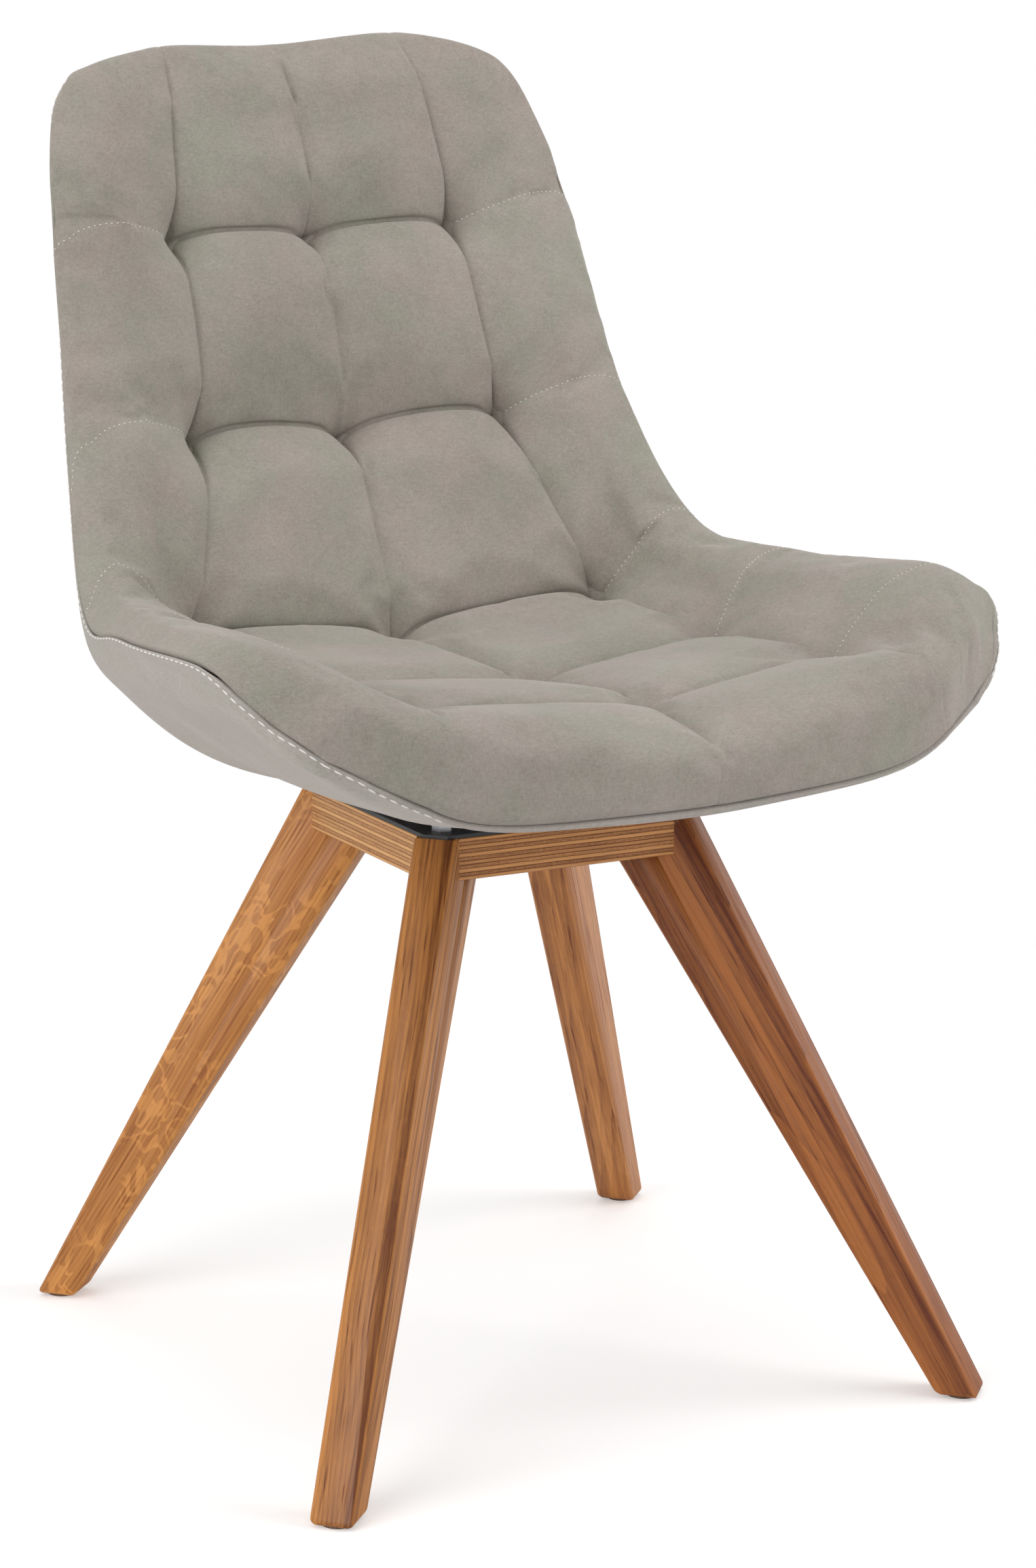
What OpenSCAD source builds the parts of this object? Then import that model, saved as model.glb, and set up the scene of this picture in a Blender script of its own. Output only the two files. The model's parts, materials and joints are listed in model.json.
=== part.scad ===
// Swivel dining chair: a quilted bucket seat on a ball-race swivel,
// carried by a plywood frame with four raked oak legs.
// Lengths are millimetres, +Z is up, the seat faces -Y, and left is -X.

/* [Frame and legs] */
// Height of the frame's top above the floor
frame_h = 388; // [360:1:420]
// Width of the square frame, over the outer faces of its rails
frame_w = 200; // [190:1:215]
// Height of a rail
rail_h = 28; // [24:1:30]
// Thickness of a rail
rail_t = 22; // [18:1:25]
// Thickness of a leg, across its flat sides
leg_t = 28.5; // [26:0.5:32]
// How far a leg's outer face lies inside the frame's corner, at the top
leg_corner_cut = 7.4; // [5:0.2:12]
// Depth of a leg at the top, along the frame's diagonal
leg_top_depth = 67; // [60:1:74]
// Depth of a leg at the foot
leg_foot_depth = 28; // [24:1:34]
// Distance from the swivel axis to a leg's outer face at the foot
leg_out_foot = 341; // [320:1:360]
// Chamfer along the long arrises of a leg
leg_arris = 1.5; // [0.5:0.25:3]
// Chamfer along the arrises of a rail
rail_arris = 0.8; // [0.4:0.1:1.5]
// Thickness of the glide under each foot
glide_t = 1.5; // [1:0.5:3]
// Radius of a foot glide
glide_r = 10; // [8:0.5:12]

/* [Swivel] */
// Angle by which the base stands turned under the seat
base_turn = 6; // [0:1:30]
// Height from the frame's top to the seat's flat underside
swivel_h = 24; // [22:1:30]
// Thickness of the pressed steel plates
plate_t = 2.5; // [2:0.5:3]
// How far the edges of the seat's plate lie inside the frame's outer faces
seat_plate_inset = 20; // [17:1:23]
// Radius of the ball track
track_r = 50; // [48:0.5:52]
// Radius of a bearing ball
ball_r = 4; // [3.5:0.25:4.5]
// Number of balls in the cage
ball_count = 20; // [12:1:24]
// Gap between the two races, where the cage runs
race_gap = 3; // [2.6:0.1:4]
// Radius of the pivot stud's bearing length
pivot_r = 6; // [5.5:0.25:7]

/* [Fasteners] */
// Distance of a leg bolt from its leg's outer face
leg_bolt_inset = 18; // [15:1:22]
// Shank radius of a leg bolt
leg_bolt_r = 4; // [3:0.5:4]
// Distance of a seat bolt from the edges of the seat's plate
seat_bolt_inset = 15; // [13:1:18]
// Shank radius of a seat bolt
seat_bolt_r = 3; // [2.5:0.5:3]
// Distance of the two screws in a rail from the rail's middle
rail_screw_pitch = 34; // [25:1:40]

/* [Upholstery] */
// Width over the seat's wings
seat_w = 600; // [560:5:640]
// Depth from the front seam to the rear of the back
seat_depth = 559; // [530:1:580]
// Height of the back's top edge above the seat's flat underside
back_h = 464; // [430:1:500]
// Thickness of the padded rear cover
cover_t = 6; // [4:0.5:8]
// Thickness of the moulded plywood shell
shell_t = 11; // [9:0.5:13]
// Thickness of the quilted front cover at a tuft
quilt_t = 8; // [6:0.5:10]
// Rise of a quilted panel above its tufts
puff_h = 15; // [8:1:18]
// Rise of the wide panels beside the rim
rim_puff_h = 3; // [2:0.5:9]
// How far the front seam hangs down between the lengthwise seams
front_drop = 8.5; // [0:0.5:10]

/* [Hidden] */

oak = "peru";
ply = "burlywood";
steel = "dimgray";
bright_steel = "silver";
velvet = [0.62, 0.59, 0.56];
rear_velvet = [0.66, 0.63, 0.61];

round_fn = 48;
small_fn = 28;
race_fn = 96;
// Running clearance on the pivot and round each ball
run_gap = 0.05;
// Space between layers of upholstery
layer_gap = 0.4;
// Slack between a fixing and its hole
hole_gap = 0.1;
// The same in the rear cover's soft layers
cover_hole_gap = 1;
// Space left past the end of a fixing in its blind hole
end_gap = 0.5;
// Overshoot of a cutting solid past the face that it opens
over = 1;

// Places of the legs and fasteners, from the frame's width
leg_out_top = frame_w / sqrt(2) - leg_corner_cut;
leg_in_top = leg_out_top - leg_top_depth;
leg_in_foot = leg_out_foot - leg_foot_depth;
leg_bolt_ring = leg_out_top - leg_bolt_inset;
seat_plate_w = frame_w - 2 * seat_plate_inset;
seat_bolt_pitch = seat_plate_w / 2 - seat_bolt_inset;

// Heights of the swivel's parts
plate_z = frame_h;
race_z = plate_z + plate_t;
under_z = frame_h + swivel_h;
seat_plate_z = under_z - plate_t;
ball_z = (race_z + seat_plate_z) / 2;

// Seat lines, each from the front seam over the front edge, the seat's two
// cross seams, the crease, the back's two cross seams and the top edge to the
// top seam. Each point is [x, y, z], z from the seat's flat underside.
mid_line = [
    [0, -245, 14], [0, -232, 48], [0, -169, 59], [0, -38, 53], [0, 124, 66],
    [0, 202, 198], [0, 245, 335], [0, 271, 419], [0, 286, 464], [0, 306, 460]
];
stitch_line = [
    [200, -228, 34], [184, -212, 78], [170, -141, 70], [168, -14, 67], [165, 116, 83],
    [125, 190, 206], [113, 236, 339], [104, 264, 423], [95, 278, 470], [92, 300, 462]
];
crest_line = [
    [231, -217, 50], [240, -196, 102], [260, -128, 124], [250, 15, 122], [226, 104, 134],
    [214, 174, 225], [202, 224, 356], [188, 250, 420], [166, 263, 456], [141, 294, 454]
];
seam_line = [
    [257, -205, 66], [280, -180, 86], [300, -138, 114], [284, -5, 108], [260, 94, 108],
    [227, 176, 196], [205, 229, 333], [190, 261, 410], [182, 274, 431], [168, 286, 447]
];
// The same lines on the rear surface, which shares the seams all round
rear_mid_line = [
    mid_line[0], [0, -222, 4], [0, -165, -4], [0, -40, -7], [0, 150, 10],
    [0, 246, 188], [0, 288, 330], [0, 308, 416], [0, 314, 446], mid_line[9]
];
rear_stitch_line = [
    stitch_line[0], [178, -195, 17], [165, -140, 8], [160, -20, 5], [158, 122, 21],
    [125, 236, 186], [115, 282, 328], [104, 302, 414], [95, 308, 444], stitch_line[9]
];
rear_crest_line = [
    crest_line[0], [266, -192, 61], [272, -136, 78], [257, 10, 71], [242, 108, 78],
    [206, 205, 184], [187, 249, 328], [174, 279, 406], [158, 294, 430], crest_line[9]
];
front_net = [mid_line, stitch_line, crest_line, seam_line];
rear_net = [rear_mid_line, rear_stitch_line, rear_crest_line, seam_line];
// Places of the seam line across and of the top seam along, counted in lines
rim = len(front_net) - 1;
top = len(mid_line) - 1;
// What brings the lines, as they are written, to the seat's width, depth and height
net_scale = [
    seat_w / (2 * seam_line[2][0]),
    seat_depth / (rear_mid_line[top - 1][1] - mid_line[0][1]),
    back_h / mid_line[top - 1][2]
];

// Steps of the seat's mesh in each stretch between the lines
rows_per_stretch = [2, 2, 3, 3, 4, 4, 2, 2, 2];
cols_per_stretch = 4;
// How far the mesh's steps crowd towards the lines, in stretches
seam_draw = 0.07;
// Cross seams, and where the panels between them begin and end
cross_seams = [0, 2, 3, 4, 5, 6, 9];
first_seam = cross_seams[1];
last_seam = cross_seams[5];
// How far a cross seam arches up between two tufts, in stretches
seam_arch = 0.08;
// Share of the front seam's drop beside the outer lengthwise seams, and the
// stretches over which the drop fades out
side_drop_share = 0.4;
drop_reach = 1.2;
// How sharply a panel falls into its seams
puff_power = 0.7;
// Height kept half way along a lengthwise seam and a cross seam
long_seam_keep = 0.42;
cross_seam_keep = 0.5;
// Where the middle of the thickness stops short of the rim, in lines
core_across = 1.8;
core_from = 1.4;
core_to = 7.5;
// Most of the way to the middle that a layer's faces may take, from the rear
cover_share = 0.34;
shell_from_share = 0.38;
shell_to_share = 0.88;
foam_from_share = 0.92;
// The same from the front
quilt_share = 0.5;
foam_to_share = 0.55;
// Steps of the mesh by which the shell and the foam stop short of the seams
inner_across = 2;
inner_along = 1;
// How far the rear cover stays inside the seams, in stretches
cover_inset = 0.05;

// Reach of the feet and of the seat along Y, which centres the chair's box
foot_reach = leg_out_foot * cos(45 - base_turn) + leg_t / 2 * sin(45 - base_turn);
back_reach = rear_mid_line[top - 1][1] * net_scale[1];
axis_y = (foot_reach - back_reach) / 2;

// Point on a smooth line through four points
function blend4(p0, p1, p2, p3, t) =
    0.5 * (2 * p1 + (p2 - p0) * t + (2 * p0 - 5 * p1 + 4 * p2 - p3) * t * t
    + (3 * p1 - p0 - 3 * p2 + p3) * t * t * t);

// Point on a list of points, at place t counted in points
function on_line(p, t) =
    let (n = len(p) - 1, i = min(floor(t), n - 1))
    blend4(i > 0 ? p[i - 1] : 2 * p[0] - p[1], p[i], p[i + 1],
        i < n - 1 ? p[i + 2] : 2 * p[n] - p[n - 1], t - i);

function flip_x(p) = [-p[0], p[1], p[2]];

// Point of a surface through the mid, stitch, crest and seam lines
function on_net(lines, across, along) =
    let (p = [for (line = lines) on_line(line, along)],
        q = on_line([flip_x(p[3]), flip_x(p[2]), flip_x(p[1]), p[0], p[1], p[2], p[3]],
            across + rim))
    [for (i = [0 : 2]) q[i] * net_scale[i]];

// Share of the way through its panel of a place along the seat
function panel_place(along) =
    let (k = [for (i = [0 : len(cross_seams) - 2]) if (along >= cross_seams[i]) i],
        i = k[len(k) - 1])
    (along - cross_seams[i]) / (cross_seams[i + 1] - cross_seams[i]);
// Share of a panel's rise at a place across and along the seat
function across_rise(across) =
    let (a = abs(across))
    pow(max(0, sin(180 * (a <= 1 ? a : (a - 1) / (rim - 1)))), puff_power);
function along_rise(along) = pow(max(0, sin(180 * panel_place(along))), puff_power);

function puff(across, along) =
    let (u = across_rise(across), v = along_rise(along),
        deep = abs(across) <= 1 && along >= first_seam && along <= last_seam,
        rise = deep ? puff_h : rim_puff_h,
        edge = min(1, rim - abs(across), along, top - along))
    rise * edge * (cross_seam_keep * u + long_seam_keep * v
    + (1 - cross_seam_keep - long_seam_keep) * u * v);

// Cross seams arch upwards between their tufts, most in the middle of the seat's length
function arched(across, along) =
    along + seam_arch * across_rise(across) * sin(180 * along / top);

// Drop of the surfaces near the front seam, between the lengthwise seams
function drop(across, along) =
    let (a = abs(across))
    front_drop * max(0, 1 - along / drop_reach)
    * (a <= 1 ? sin(180 * a * a) : side_drop_share * sin(180 * min(a - 1, 1)));

function front_at(across, along) =
    on_net(front_net, across, arched(across, along)) - [0, 0, drop(across, along)];
// The underside is flat where the swivel plate seats
function rear_at(across, along) =
    let (p = on_net(rear_net, across, arched(across, along)) - [0, 0, drop(across, along)])
    [p[0], p[1], max(p[2], 0)];

// Middle of the seat's thickness, which stops short of the rim
function core_at(across, along) =
    let (u = min(core_across, max(-core_across, across)),
        v = min(core_to, max(core_from, along)))
    (front_at(u, v) + rear_at(u, v)) / 2;

// Point at a depth under a face, at most a share of the way to the middle
function sunk(face, core, depth, share) =
    let (d = core - face)
    face + d * min(depth / norm(d), share);
function from_rear(depth, share, across, along) =
    sunk(rear_at(across, along), core_at(across, along), depth, share);
function from_front(depth, share, across, along) =
    sunk(front_at(across, along), core_at(across, along), depth, share);

// Outer face of the quilting: the front surface raised by its panels
function quilt_at(across, along) =
    let (p = front_at(across, along), d = p - core_at(across, along))
    p + d / norm(d) * puff(across, along);

// Mesh places across and along, without the outermost ones that a layer leaves
// out. All layers share them, so that their facets lie one behind another.
function crowded(t) = t - seam_draw * sin(360 * (t - floor(t)));
function across_places(left_out) =
    let (last = rim * cols_per_stretch - left_out)
    [for (i = [-last : last]) sign(i) * crowded(abs(i) / cols_per_stretch)];
function along_places(left_out) =
    let (places = concat([0], [for (s = [0 : top - 1]) for (i = [1 : rows_per_stretch[s]])
        crowded(s + i / rows_per_stretch[s])]))
    [for (i = [left_out : len(places) - 1 - left_out]) places[i]];
// The same with the first and the last place drawn in
function drawn_in(places, inset) =
    let (last = places[len(places) - 1])
    [for (p = places) max(places[0] + inset, min(last - inset, p))];

// Closed solid between two grids of points, upper on the sitter's side
module layer(upper, lower) {
    rows = len(upper);
    cols = len(upper[0]);
    front = [for (r = upper) for (p = r) p];
    back = [for (r = lower) for (p = r) p];
    count = rows * cols;
    function at(r, c) = r * cols + c;
    function quad(a, b, c, d) = [[a, b, c], [a, c, d]];
    faces = concat(
        [for (r = [0 : rows - 2]) for (c = [0 : cols - 2])
            for (f = quad(at(r, c), at(r + 1, c), at(r + 1, c + 1), at(r, c + 1))) f],
        [for (r = [0 : rows - 2]) for (c = [0 : cols - 2])
            for (f = quad(at(r, c), at(r, c + 1), at(r + 1, c + 1), at(r + 1, c)))
                [for (i = f) i + count]],
        [for (c = [0 : cols - 2])
            for (f = quad(at(0, c), at(0, c + 1), at(0, c + 1) + count, at(0, c) + count)) f],
        [for (c = [0 : cols - 2])
            for (f = quad(at(rows - 1, c + 1), at(rows - 1, c),
                at(rows - 1, c) + count, at(rows - 1, c + 1) + count)) f],
        [for (r = [0 : rows - 2])
            for (f = quad(at(r + 1, 0), at(r, 0), at(r, 0) + count, at(r + 1, 0) + count)) f],
        [for (r = [0 : rows - 2])
            for (f = quad(at(r, cols - 1), at(r + 1, cols - 1),
                at(r + 1, cols - 1) + count, at(r, cols - 1) + count)) f]);
    translate([0, axis_y, under_z]) polyhedron(concat(front, back), faces, convexity = 6);
}

function grid(across, along, at) = [for (v = along) [for (u = across) at(u, v)]];

module quilted_cover() {
    across = across_places(0);
    along = along_places(0);
    upper = grid(across, along, function (u, v) quilt_at(u, v));
    lower = grid(across, along, function (u, v) from_front(quilt_t, quilt_share, u, v));
    color(velvet) layer(upper, lower);
}

module seat_foam() {
    across = across_places(inner_across);
    along = along_places(inner_along);
    upper = grid(across, along,
        function (u, v) from_front(quilt_t + layer_gap, foam_to_share, u, v));
    lower = grid(across, along,
        function (u, v) from_rear(cover_t + shell_t + 2 * layer_gap, foam_from_share, u, v));
    color("khaki") layer(upper, lower);
}

// Places of the four seat bolts, in the seat's frame
module at_seat_bolts() {
    for (x = [-1, 1]) for (y = [-1, 1])
        translate([x * seat_bolt_pitch, axis_y + y * seat_bolt_pitch, 0]) children();
}

shell_z = under_z + cover_t + layer_gap;
shell_top_z = shell_z + shell_t;
nut_flange_r = 9.5;
nut_flange_t = 1.5;
nut_barrel_r = 3.9;
// Depth by which a tee nut's flange lies below the shell's upper face
nut_sink = 0.6;
nut_top_z = shell_top_z - nut_sink;
nut_length = 8.5;

module seat_shell() {
    across = across_places(inner_across);
    along = along_places(inner_along);
    upper = grid(across, along,
        function (u, v) from_rear(cover_t + layer_gap + shell_t, shell_to_share, u, v));
    lower = grid(across, along,
        function (u, v) from_rear(cover_t + layer_gap, shell_from_share, u, v));
    color(ply) difference() {
        layer(upper, lower);
        at_seat_bolts() {
            translate([0, 0, shell_z - over])
                cylinder(r = nut_barrel_r + hole_gap, h = shell_t + 2 * over, $fn = small_fn);
            translate([0, 0, nut_top_z - nut_flange_t - hole_gap])
                cylinder(r = nut_flange_r + hole_gap, h = shell_t, $fn = small_fn);
        }
    }
}

module rear_cover() {
    across = drawn_in(across_places(0), cover_inset);
    along = drawn_in(along_places(0), cover_inset);
    upper = grid(across, along, function (u, v) from_rear(cover_t, cover_share, u, v));
    lower = grid(across, along, function (u, v) rear_at(u, v));
    color(rear_velvet) difference() {
        layer(upper, lower);
        at_seat_bolts() translate([0, 0, under_z - over])
            cylinder(r = seat_bolt_r + cover_hole_gap, h = cover_t + 2 * over, $fn = small_fn);
    }
}

module tee_nuts() {
    color(bright_steel) at_seat_bolts() translate([0, 0, nut_top_z]) difference() {
        union() {
            translate([0, 0, -nut_flange_t]) cylinder(r = nut_flange_r, h = nut_flange_t, $fn = round_fn);
            translate([0, 0, -nut_length]) cylinder(r = nut_barrel_r, h = nut_length, $fn = round_fn);
        }
        translate([0, 0, -nut_length - over])
            cylinder(r = seat_bolt_r, h = nut_length + 2 * over, $fn = round_fn);
    }
}

// Square plate with cut corners, lying on the frame's axis
module cut_plate(width, corner_reach, thickness) {
    half = width / 2;
    side = corner_reach * sqrt(2) - half;
    linear_extrude(thickness) polygon([
        [half, -side], [half, side], [side, half], [-side, half],
        [-half, side], [-half, -side], [-side, -half], [side, -half]]);
}

// Depth cut off the seat plate's corners
seat_plate_cut = 8;
seat_plate_reach = seat_plate_w / sqrt(2) - seat_plate_cut;

module seat_plate() {
    color(steel) difference() {
        translate([0, axis_y, seat_plate_z])
            cut_plate(seat_plate_w, seat_plate_reach, plate_t);
        at_seat_bolts() translate([0, 0, seat_plate_z - over])
            cylinder(r = seat_bolt_r + hole_gap, h = plate_t + 2 * over, $fn = round_fn);
    }
}

bolt_washer_t = 1.2;
bolt_washer_r = 6.5;
seat_bolt_head_h = 4;
seat_bolt_head_r = 5.75;

// Hexagon head standing on z = 0, its free corners turned off by a cone
hex_turned_h = 0.8;
hex_flat_share = 0.86;
module hex_head(r, h) {
    intersection() {
        cylinder(r = r, h = h, $fn = 6);
        union() {
            cylinder(r = r, h = h - hex_turned_h, $fn = round_fn);
            translate([0, 0, h - hex_turned_h])
                cylinder(r1 = r, r2 = r * hex_flat_share, h = hex_turned_h, $fn = round_fn);
        }
    }
}

module seat_bolts() {
    color(bright_steel) at_seat_bolts() {
        translate([0, 0, seat_plate_z - bolt_washer_t]) mirror([0, 0, 1])
            hex_head(seat_bolt_head_r, seat_bolt_head_h);
        translate([0, 0, seat_plate_z - bolt_washer_t])
            cylinder(r = seat_bolt_r - run_gap, h = nut_top_z - seat_plate_z + bolt_washer_t,
                $fn = round_fn);
    }
}

module bolt_washers() {
    color(bright_steel) at_seat_bolts() translate([0, 0, seat_plate_z - bolt_washer_t])
        difference() {
            cylinder(r = bolt_washer_r, h = bolt_washer_t, $fn = round_fn);
            translate([0, 0, -over])
                cylinder(r = seat_bolt_r + hole_gap, h = bolt_washer_t + 2 * over, $fn = round_fn);
        }
}

race_w = 16;
race_inner_r = track_r - race_w / 2;
race_outer_r = track_r + race_w / 2;
race_h = (seat_plate_z - race_z - race_gap) / 2;
race_flange_t = 2;
race_flange_w = 5;

// Half section of a race, flange on z = 0, with its ball track open upwards
module race_ring() {
    track_z = ball_z - race_z;
    rotate_extrude($fn = race_fn) difference() {
        union() {
            translate([race_inner_r, 0]) square([race_w, race_h]);
            translate([race_outer_r - over, 0]) square([race_flange_w + over, race_flange_t]);
        }
        translate([track_r, track_z]) circle(r = ball_r + run_gap, $fn = round_fn);
    }
}

module lower_race() {
    color(steel) translate([0, axis_y, race_z]) race_ring();
}

module upper_race() {
    color(steel) translate([0, axis_y, seat_plate_z]) mirror([0, 0, 1]) race_ring();
}

// Clear space above and below the cage, at its edges and round each ball
cage_clear = 0.5;
cage_inset = 1;
pocket_gap = 0.15;
cage_t = race_gap - 2 * cage_clear;

module at_balls() {
    translate([0, axis_y, ball_z]) for (i = [0 : ball_count - 1])
        rotate([0, 0, i * 360 / ball_count]) translate([track_r, 0, 0]) children();
}

module ball_cage() {
    color("ivory") difference() {
        translate([0, axis_y, ball_z - cage_t / 2]) difference() {
            cylinder(r = race_outer_r - cage_inset, h = cage_t, $fn = race_fn);
            translate([0, 0, -over])
                cylinder(r = race_inner_r + cage_inset, h = cage_t + 2 * over, $fn = race_fn);
        }
        at_balls() translate([0, 0, -cage_t])
            cylinder(r = ball_r + pocket_gap, h = 2 * cage_t, $fn = small_fn);
    }
}

module bearing_balls() {
    color(bright_steel) at_balls() sphere(r = ball_r, $fn = small_fn);
}

// The pivot stud hangs from the seat plate through the bush in the base plate
stud_flange_r = 14;
stud_flange_t = 3;
bush_flange_t = 2;
bush_flange_r = 12;
bush_wall = 2;
bush_drop = 6;
// Clearance of the bush in the base plate
bush_fit = 0.02;
// Play of the seat along the pivot
lift_play = 0.2;
bush_end_z = plate_z - bush_drop;
washer_t = 2;
washer_r = 2 * pivot_r;
nut_h = 8.5;
thread_r = pivot_r - 1;
nut_r = 1.9 * thread_r;
stud_tip = 2;
shoulder_z = bush_end_z - lift_play;
washer_z = shoulder_z - washer_t;
nut_z = washer_z - nut_h;
stud_end_z = nut_z - stud_tip;

module pivot_stud() {
    color(bright_steel) translate([0, axis_y, 0]) {
        translate([0, 0, seat_plate_z - stud_flange_t])
            cylinder(r = stud_flange_r, h = stud_flange_t, $fn = round_fn);
        translate([0, 0, shoulder_z])
            cylinder(r = pivot_r, h = seat_plate_z - shoulder_z, $fn = round_fn);
        translate([0, 0, stud_end_z])
            cylinder(r = thread_r, h = shoulder_z - stud_end_z, $fn = round_fn);
    }
}

module pivot_washer() {
    color(bright_steel) translate([0, axis_y, washer_z]) difference() {
        cylinder(r = washer_r, h = washer_t, $fn = round_fn);
        translate([0, 0, -over])
            cylinder(r = thread_r + run_gap, h = washer_t + 2 * over, $fn = round_fn);
    }
}

module pivot_nut() {
    color(bright_steel) translate([0, axis_y, nut_z]) difference() {
        hex_head(nut_r, nut_h);
        translate([0, 0, -over])
            cylinder(r = thread_r + run_gap, h = nut_h + 2 * over, $fn = round_fn);
    }
}

module pivot_bush() {
    color("ivory") translate([0, axis_y, 0]) difference() {
        union() {
            translate([0, 0, race_z]) cylinder(r = bush_flange_r, h = bush_flange_t, $fn = round_fn);
            translate([0, 0, bush_end_z])
                cylinder(r = pivot_r + run_gap + bush_wall, h = race_z - bush_end_z, $fn = round_fn);
        }
        translate([0, 0, bush_end_z - over])
            cylinder(r = pivot_r + run_gap, h = bush_drop + plate_t + bush_flange_t + 2 * over,
                $fn = round_fn);
    }
}

// Everything of the base stands turned under the seat
module in_base() {
    translate([0, axis_y, 0]) rotate([0, 0, -base_turn]) children();
}

module at_leg_bolts() {
    for (i = [0 : 3]) rotate([0, 0, 45 + 90 * i]) translate([leg_bolt_ring, 0, 0]) children();
}

module at_rail_screws() {
    for (i = [0 : 3]) rotate([0, 0, 90 * i]) for (x = [-1, 1])
        translate([x * rail_screw_pitch, frame_w / 2 - rail_t / 2, 0]) children();
}

rail_screw_r = 1.9;
// Holes in the base plate through which the seat bolts are reached
access_hole_r = 7.5;
// How far the base plate's cut corners stay inside the legs' outer faces
plate_setback = 1;

module base_plate() {
    color("black") in_base() difference() {
        translate([0, 0, plate_z]) cut_plate(frame_w, leg_out_top - plate_setback, plate_t);
        translate([0, 0, plate_z - over]) {
            cylinder(r = pivot_r + run_gap + bush_wall + bush_fit, h = plate_t + 2 * over,
                $fn = round_fn);
            at_leg_bolts() cylinder(r = leg_bolt_r + hole_gap, h = plate_t + 2 * over, $fn = round_fn);
            at_rail_screws()
                cylinder(r = rail_screw_r + hole_gap, h = plate_t + 2 * over, $fn = round_fn);
            for (x = [-1, 1]) for (y = [-1, 1])
                translate([x * seat_bolt_pitch, y * seat_bolt_pitch, 0])
                    cylinder(r = access_hole_r, h = plate_t + 2 * over, $fn = round_fn);
        }
    }
}

leg_bolt_head_r = 7.5;
leg_bolt_head_h = 5.3;
insert_wall = 1.6;
insert_h = 12;
insert_z = frame_h - insert_h;

module leg_bolts() {
    color(bright_steel) in_base() at_leg_bolts() {
        translate([0, 0, race_z]) hex_head(leg_bolt_head_r, leg_bolt_head_h);
        translate([0, 0, insert_z + end_gap])
            cylinder(r = leg_bolt_r - run_gap, h = race_z - insert_z - end_gap, $fn = round_fn);
    }
}

module leg_inserts() {
    color("goldenrod") in_base() at_leg_bolts() translate([0, 0, insert_z]) difference() {
        cylinder(r = leg_bolt_r + insert_wall, h = insert_h, $fn = round_fn);
        translate([0, 0, -over]) cylinder(r = leg_bolt_r, h = insert_h + 2 * over, $fn = round_fn);
    }
}

screw_head_r = 3.8;
screw_dome_r = 2.3;
screw_head_h = 2.4;
screw_length = 16;

module rail_screws() {
    color(bright_steel) in_base() at_rail_screws() {
        translate([0, 0, race_z]) cylinder(r1 = screw_head_r, r2 = screw_dome_r,
            h = screw_head_h, $fn = round_fn);
        translate([0, 0, race_z - screw_length])
            cylinder(r = rail_screw_r, h = screw_length, $fn = small_fn);
    }
}

// Dowels run along the rails, two in each leg
dowel_r = 4;
dowel_in_leg = 11;
dowel_in_rail = 22;
// Height of a dowel above the rail's underside
dowel_lift = 9;
dowel_z = frame_h - rail_h + dowel_lift;
rail_mid = frame_w / 2 - rail_t / 2;
rail_end = rail_mid - leg_t / sqrt(2);

module dowel(gap) {
    translate([rail_end - dowel_in_rail - gap, 0, 0]) rotate([0, 90, 0])
        cylinder(r = dowel_r + gap, h = dowel_in_rail + dowel_in_leg + 2 * gap, $fn = round_fn);
}

module at_dowels() {
    for (i = [0 : 3]) rotate([0, 0, 90 * i]) for (side = [0, 1]) mirror([side, 0, 0])
        translate([0, -rail_mid, dowel_z]) children();
}

module rail_dowels() {
    color(ply) in_base() at_dowels() dowel(0);
}

// Rail along the front, with its ends cut to the legs' flat sides
module rail(turn) {
    outer = frame_w / 2;
    inner = outer - rail_t;
    cut = leg_t / sqrt(2);
    color(ply) in_base() rotate([0, 0, turn]) difference() {
        translate([0, 0, frame_h - rail_h]) intersection() {
            linear_extrude(rail_h) polygon([
                [-(outer - cut), -outer], [outer - cut, -outer],
                [inner - cut, -inner], [-(inner - cut), -inner]]);
            rotate([90, 0, 90]) translate([0, 0, -outer]) linear_extrude(2 * outer)
                polygon([
                    [-outer, rail_arris], [-outer + rail_arris, 0],
                    [-inner - rail_arris, 0], [-inner, rail_arris],
                    [-inner, rail_h - rail_arris], [-inner - rail_arris, rail_h],
                    [-outer + rail_arris, rail_h], [-outer, rail_h - rail_arris]]);
        }
        for (side = [0, 1]) mirror([side, 0, 0]) translate([0, -rail_mid, dowel_z]) dowel(run_gap);
        for (x = [-1, 1]) translate([x * rail_screw_pitch, -rail_mid, race_z - screw_length - end_gap])
            cylinder(r = rail_screw_r + run_gap, h = screw_length + over, $fn = small_fn);
    }
}

module front_rail() { rail(0); }
module right_rail() { rail(90); }
module rear_rail() { rail(180); }
module left_rail() { rail(270); }

glide_ring = (leg_in_foot + leg_out_foot) / 2;
nail_r = 1.25;
nail_h = 12;

// Radial profile of a leg, drawn in by an amount all round for its chamfers
module leg_profile(inset) {
    offset(delta = -inset) polygon([
        [leg_in_top, frame_h], [leg_out_top, frame_h],
        [leg_out_foot, glide_t], [leg_in_foot, glide_t]]);
}

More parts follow.
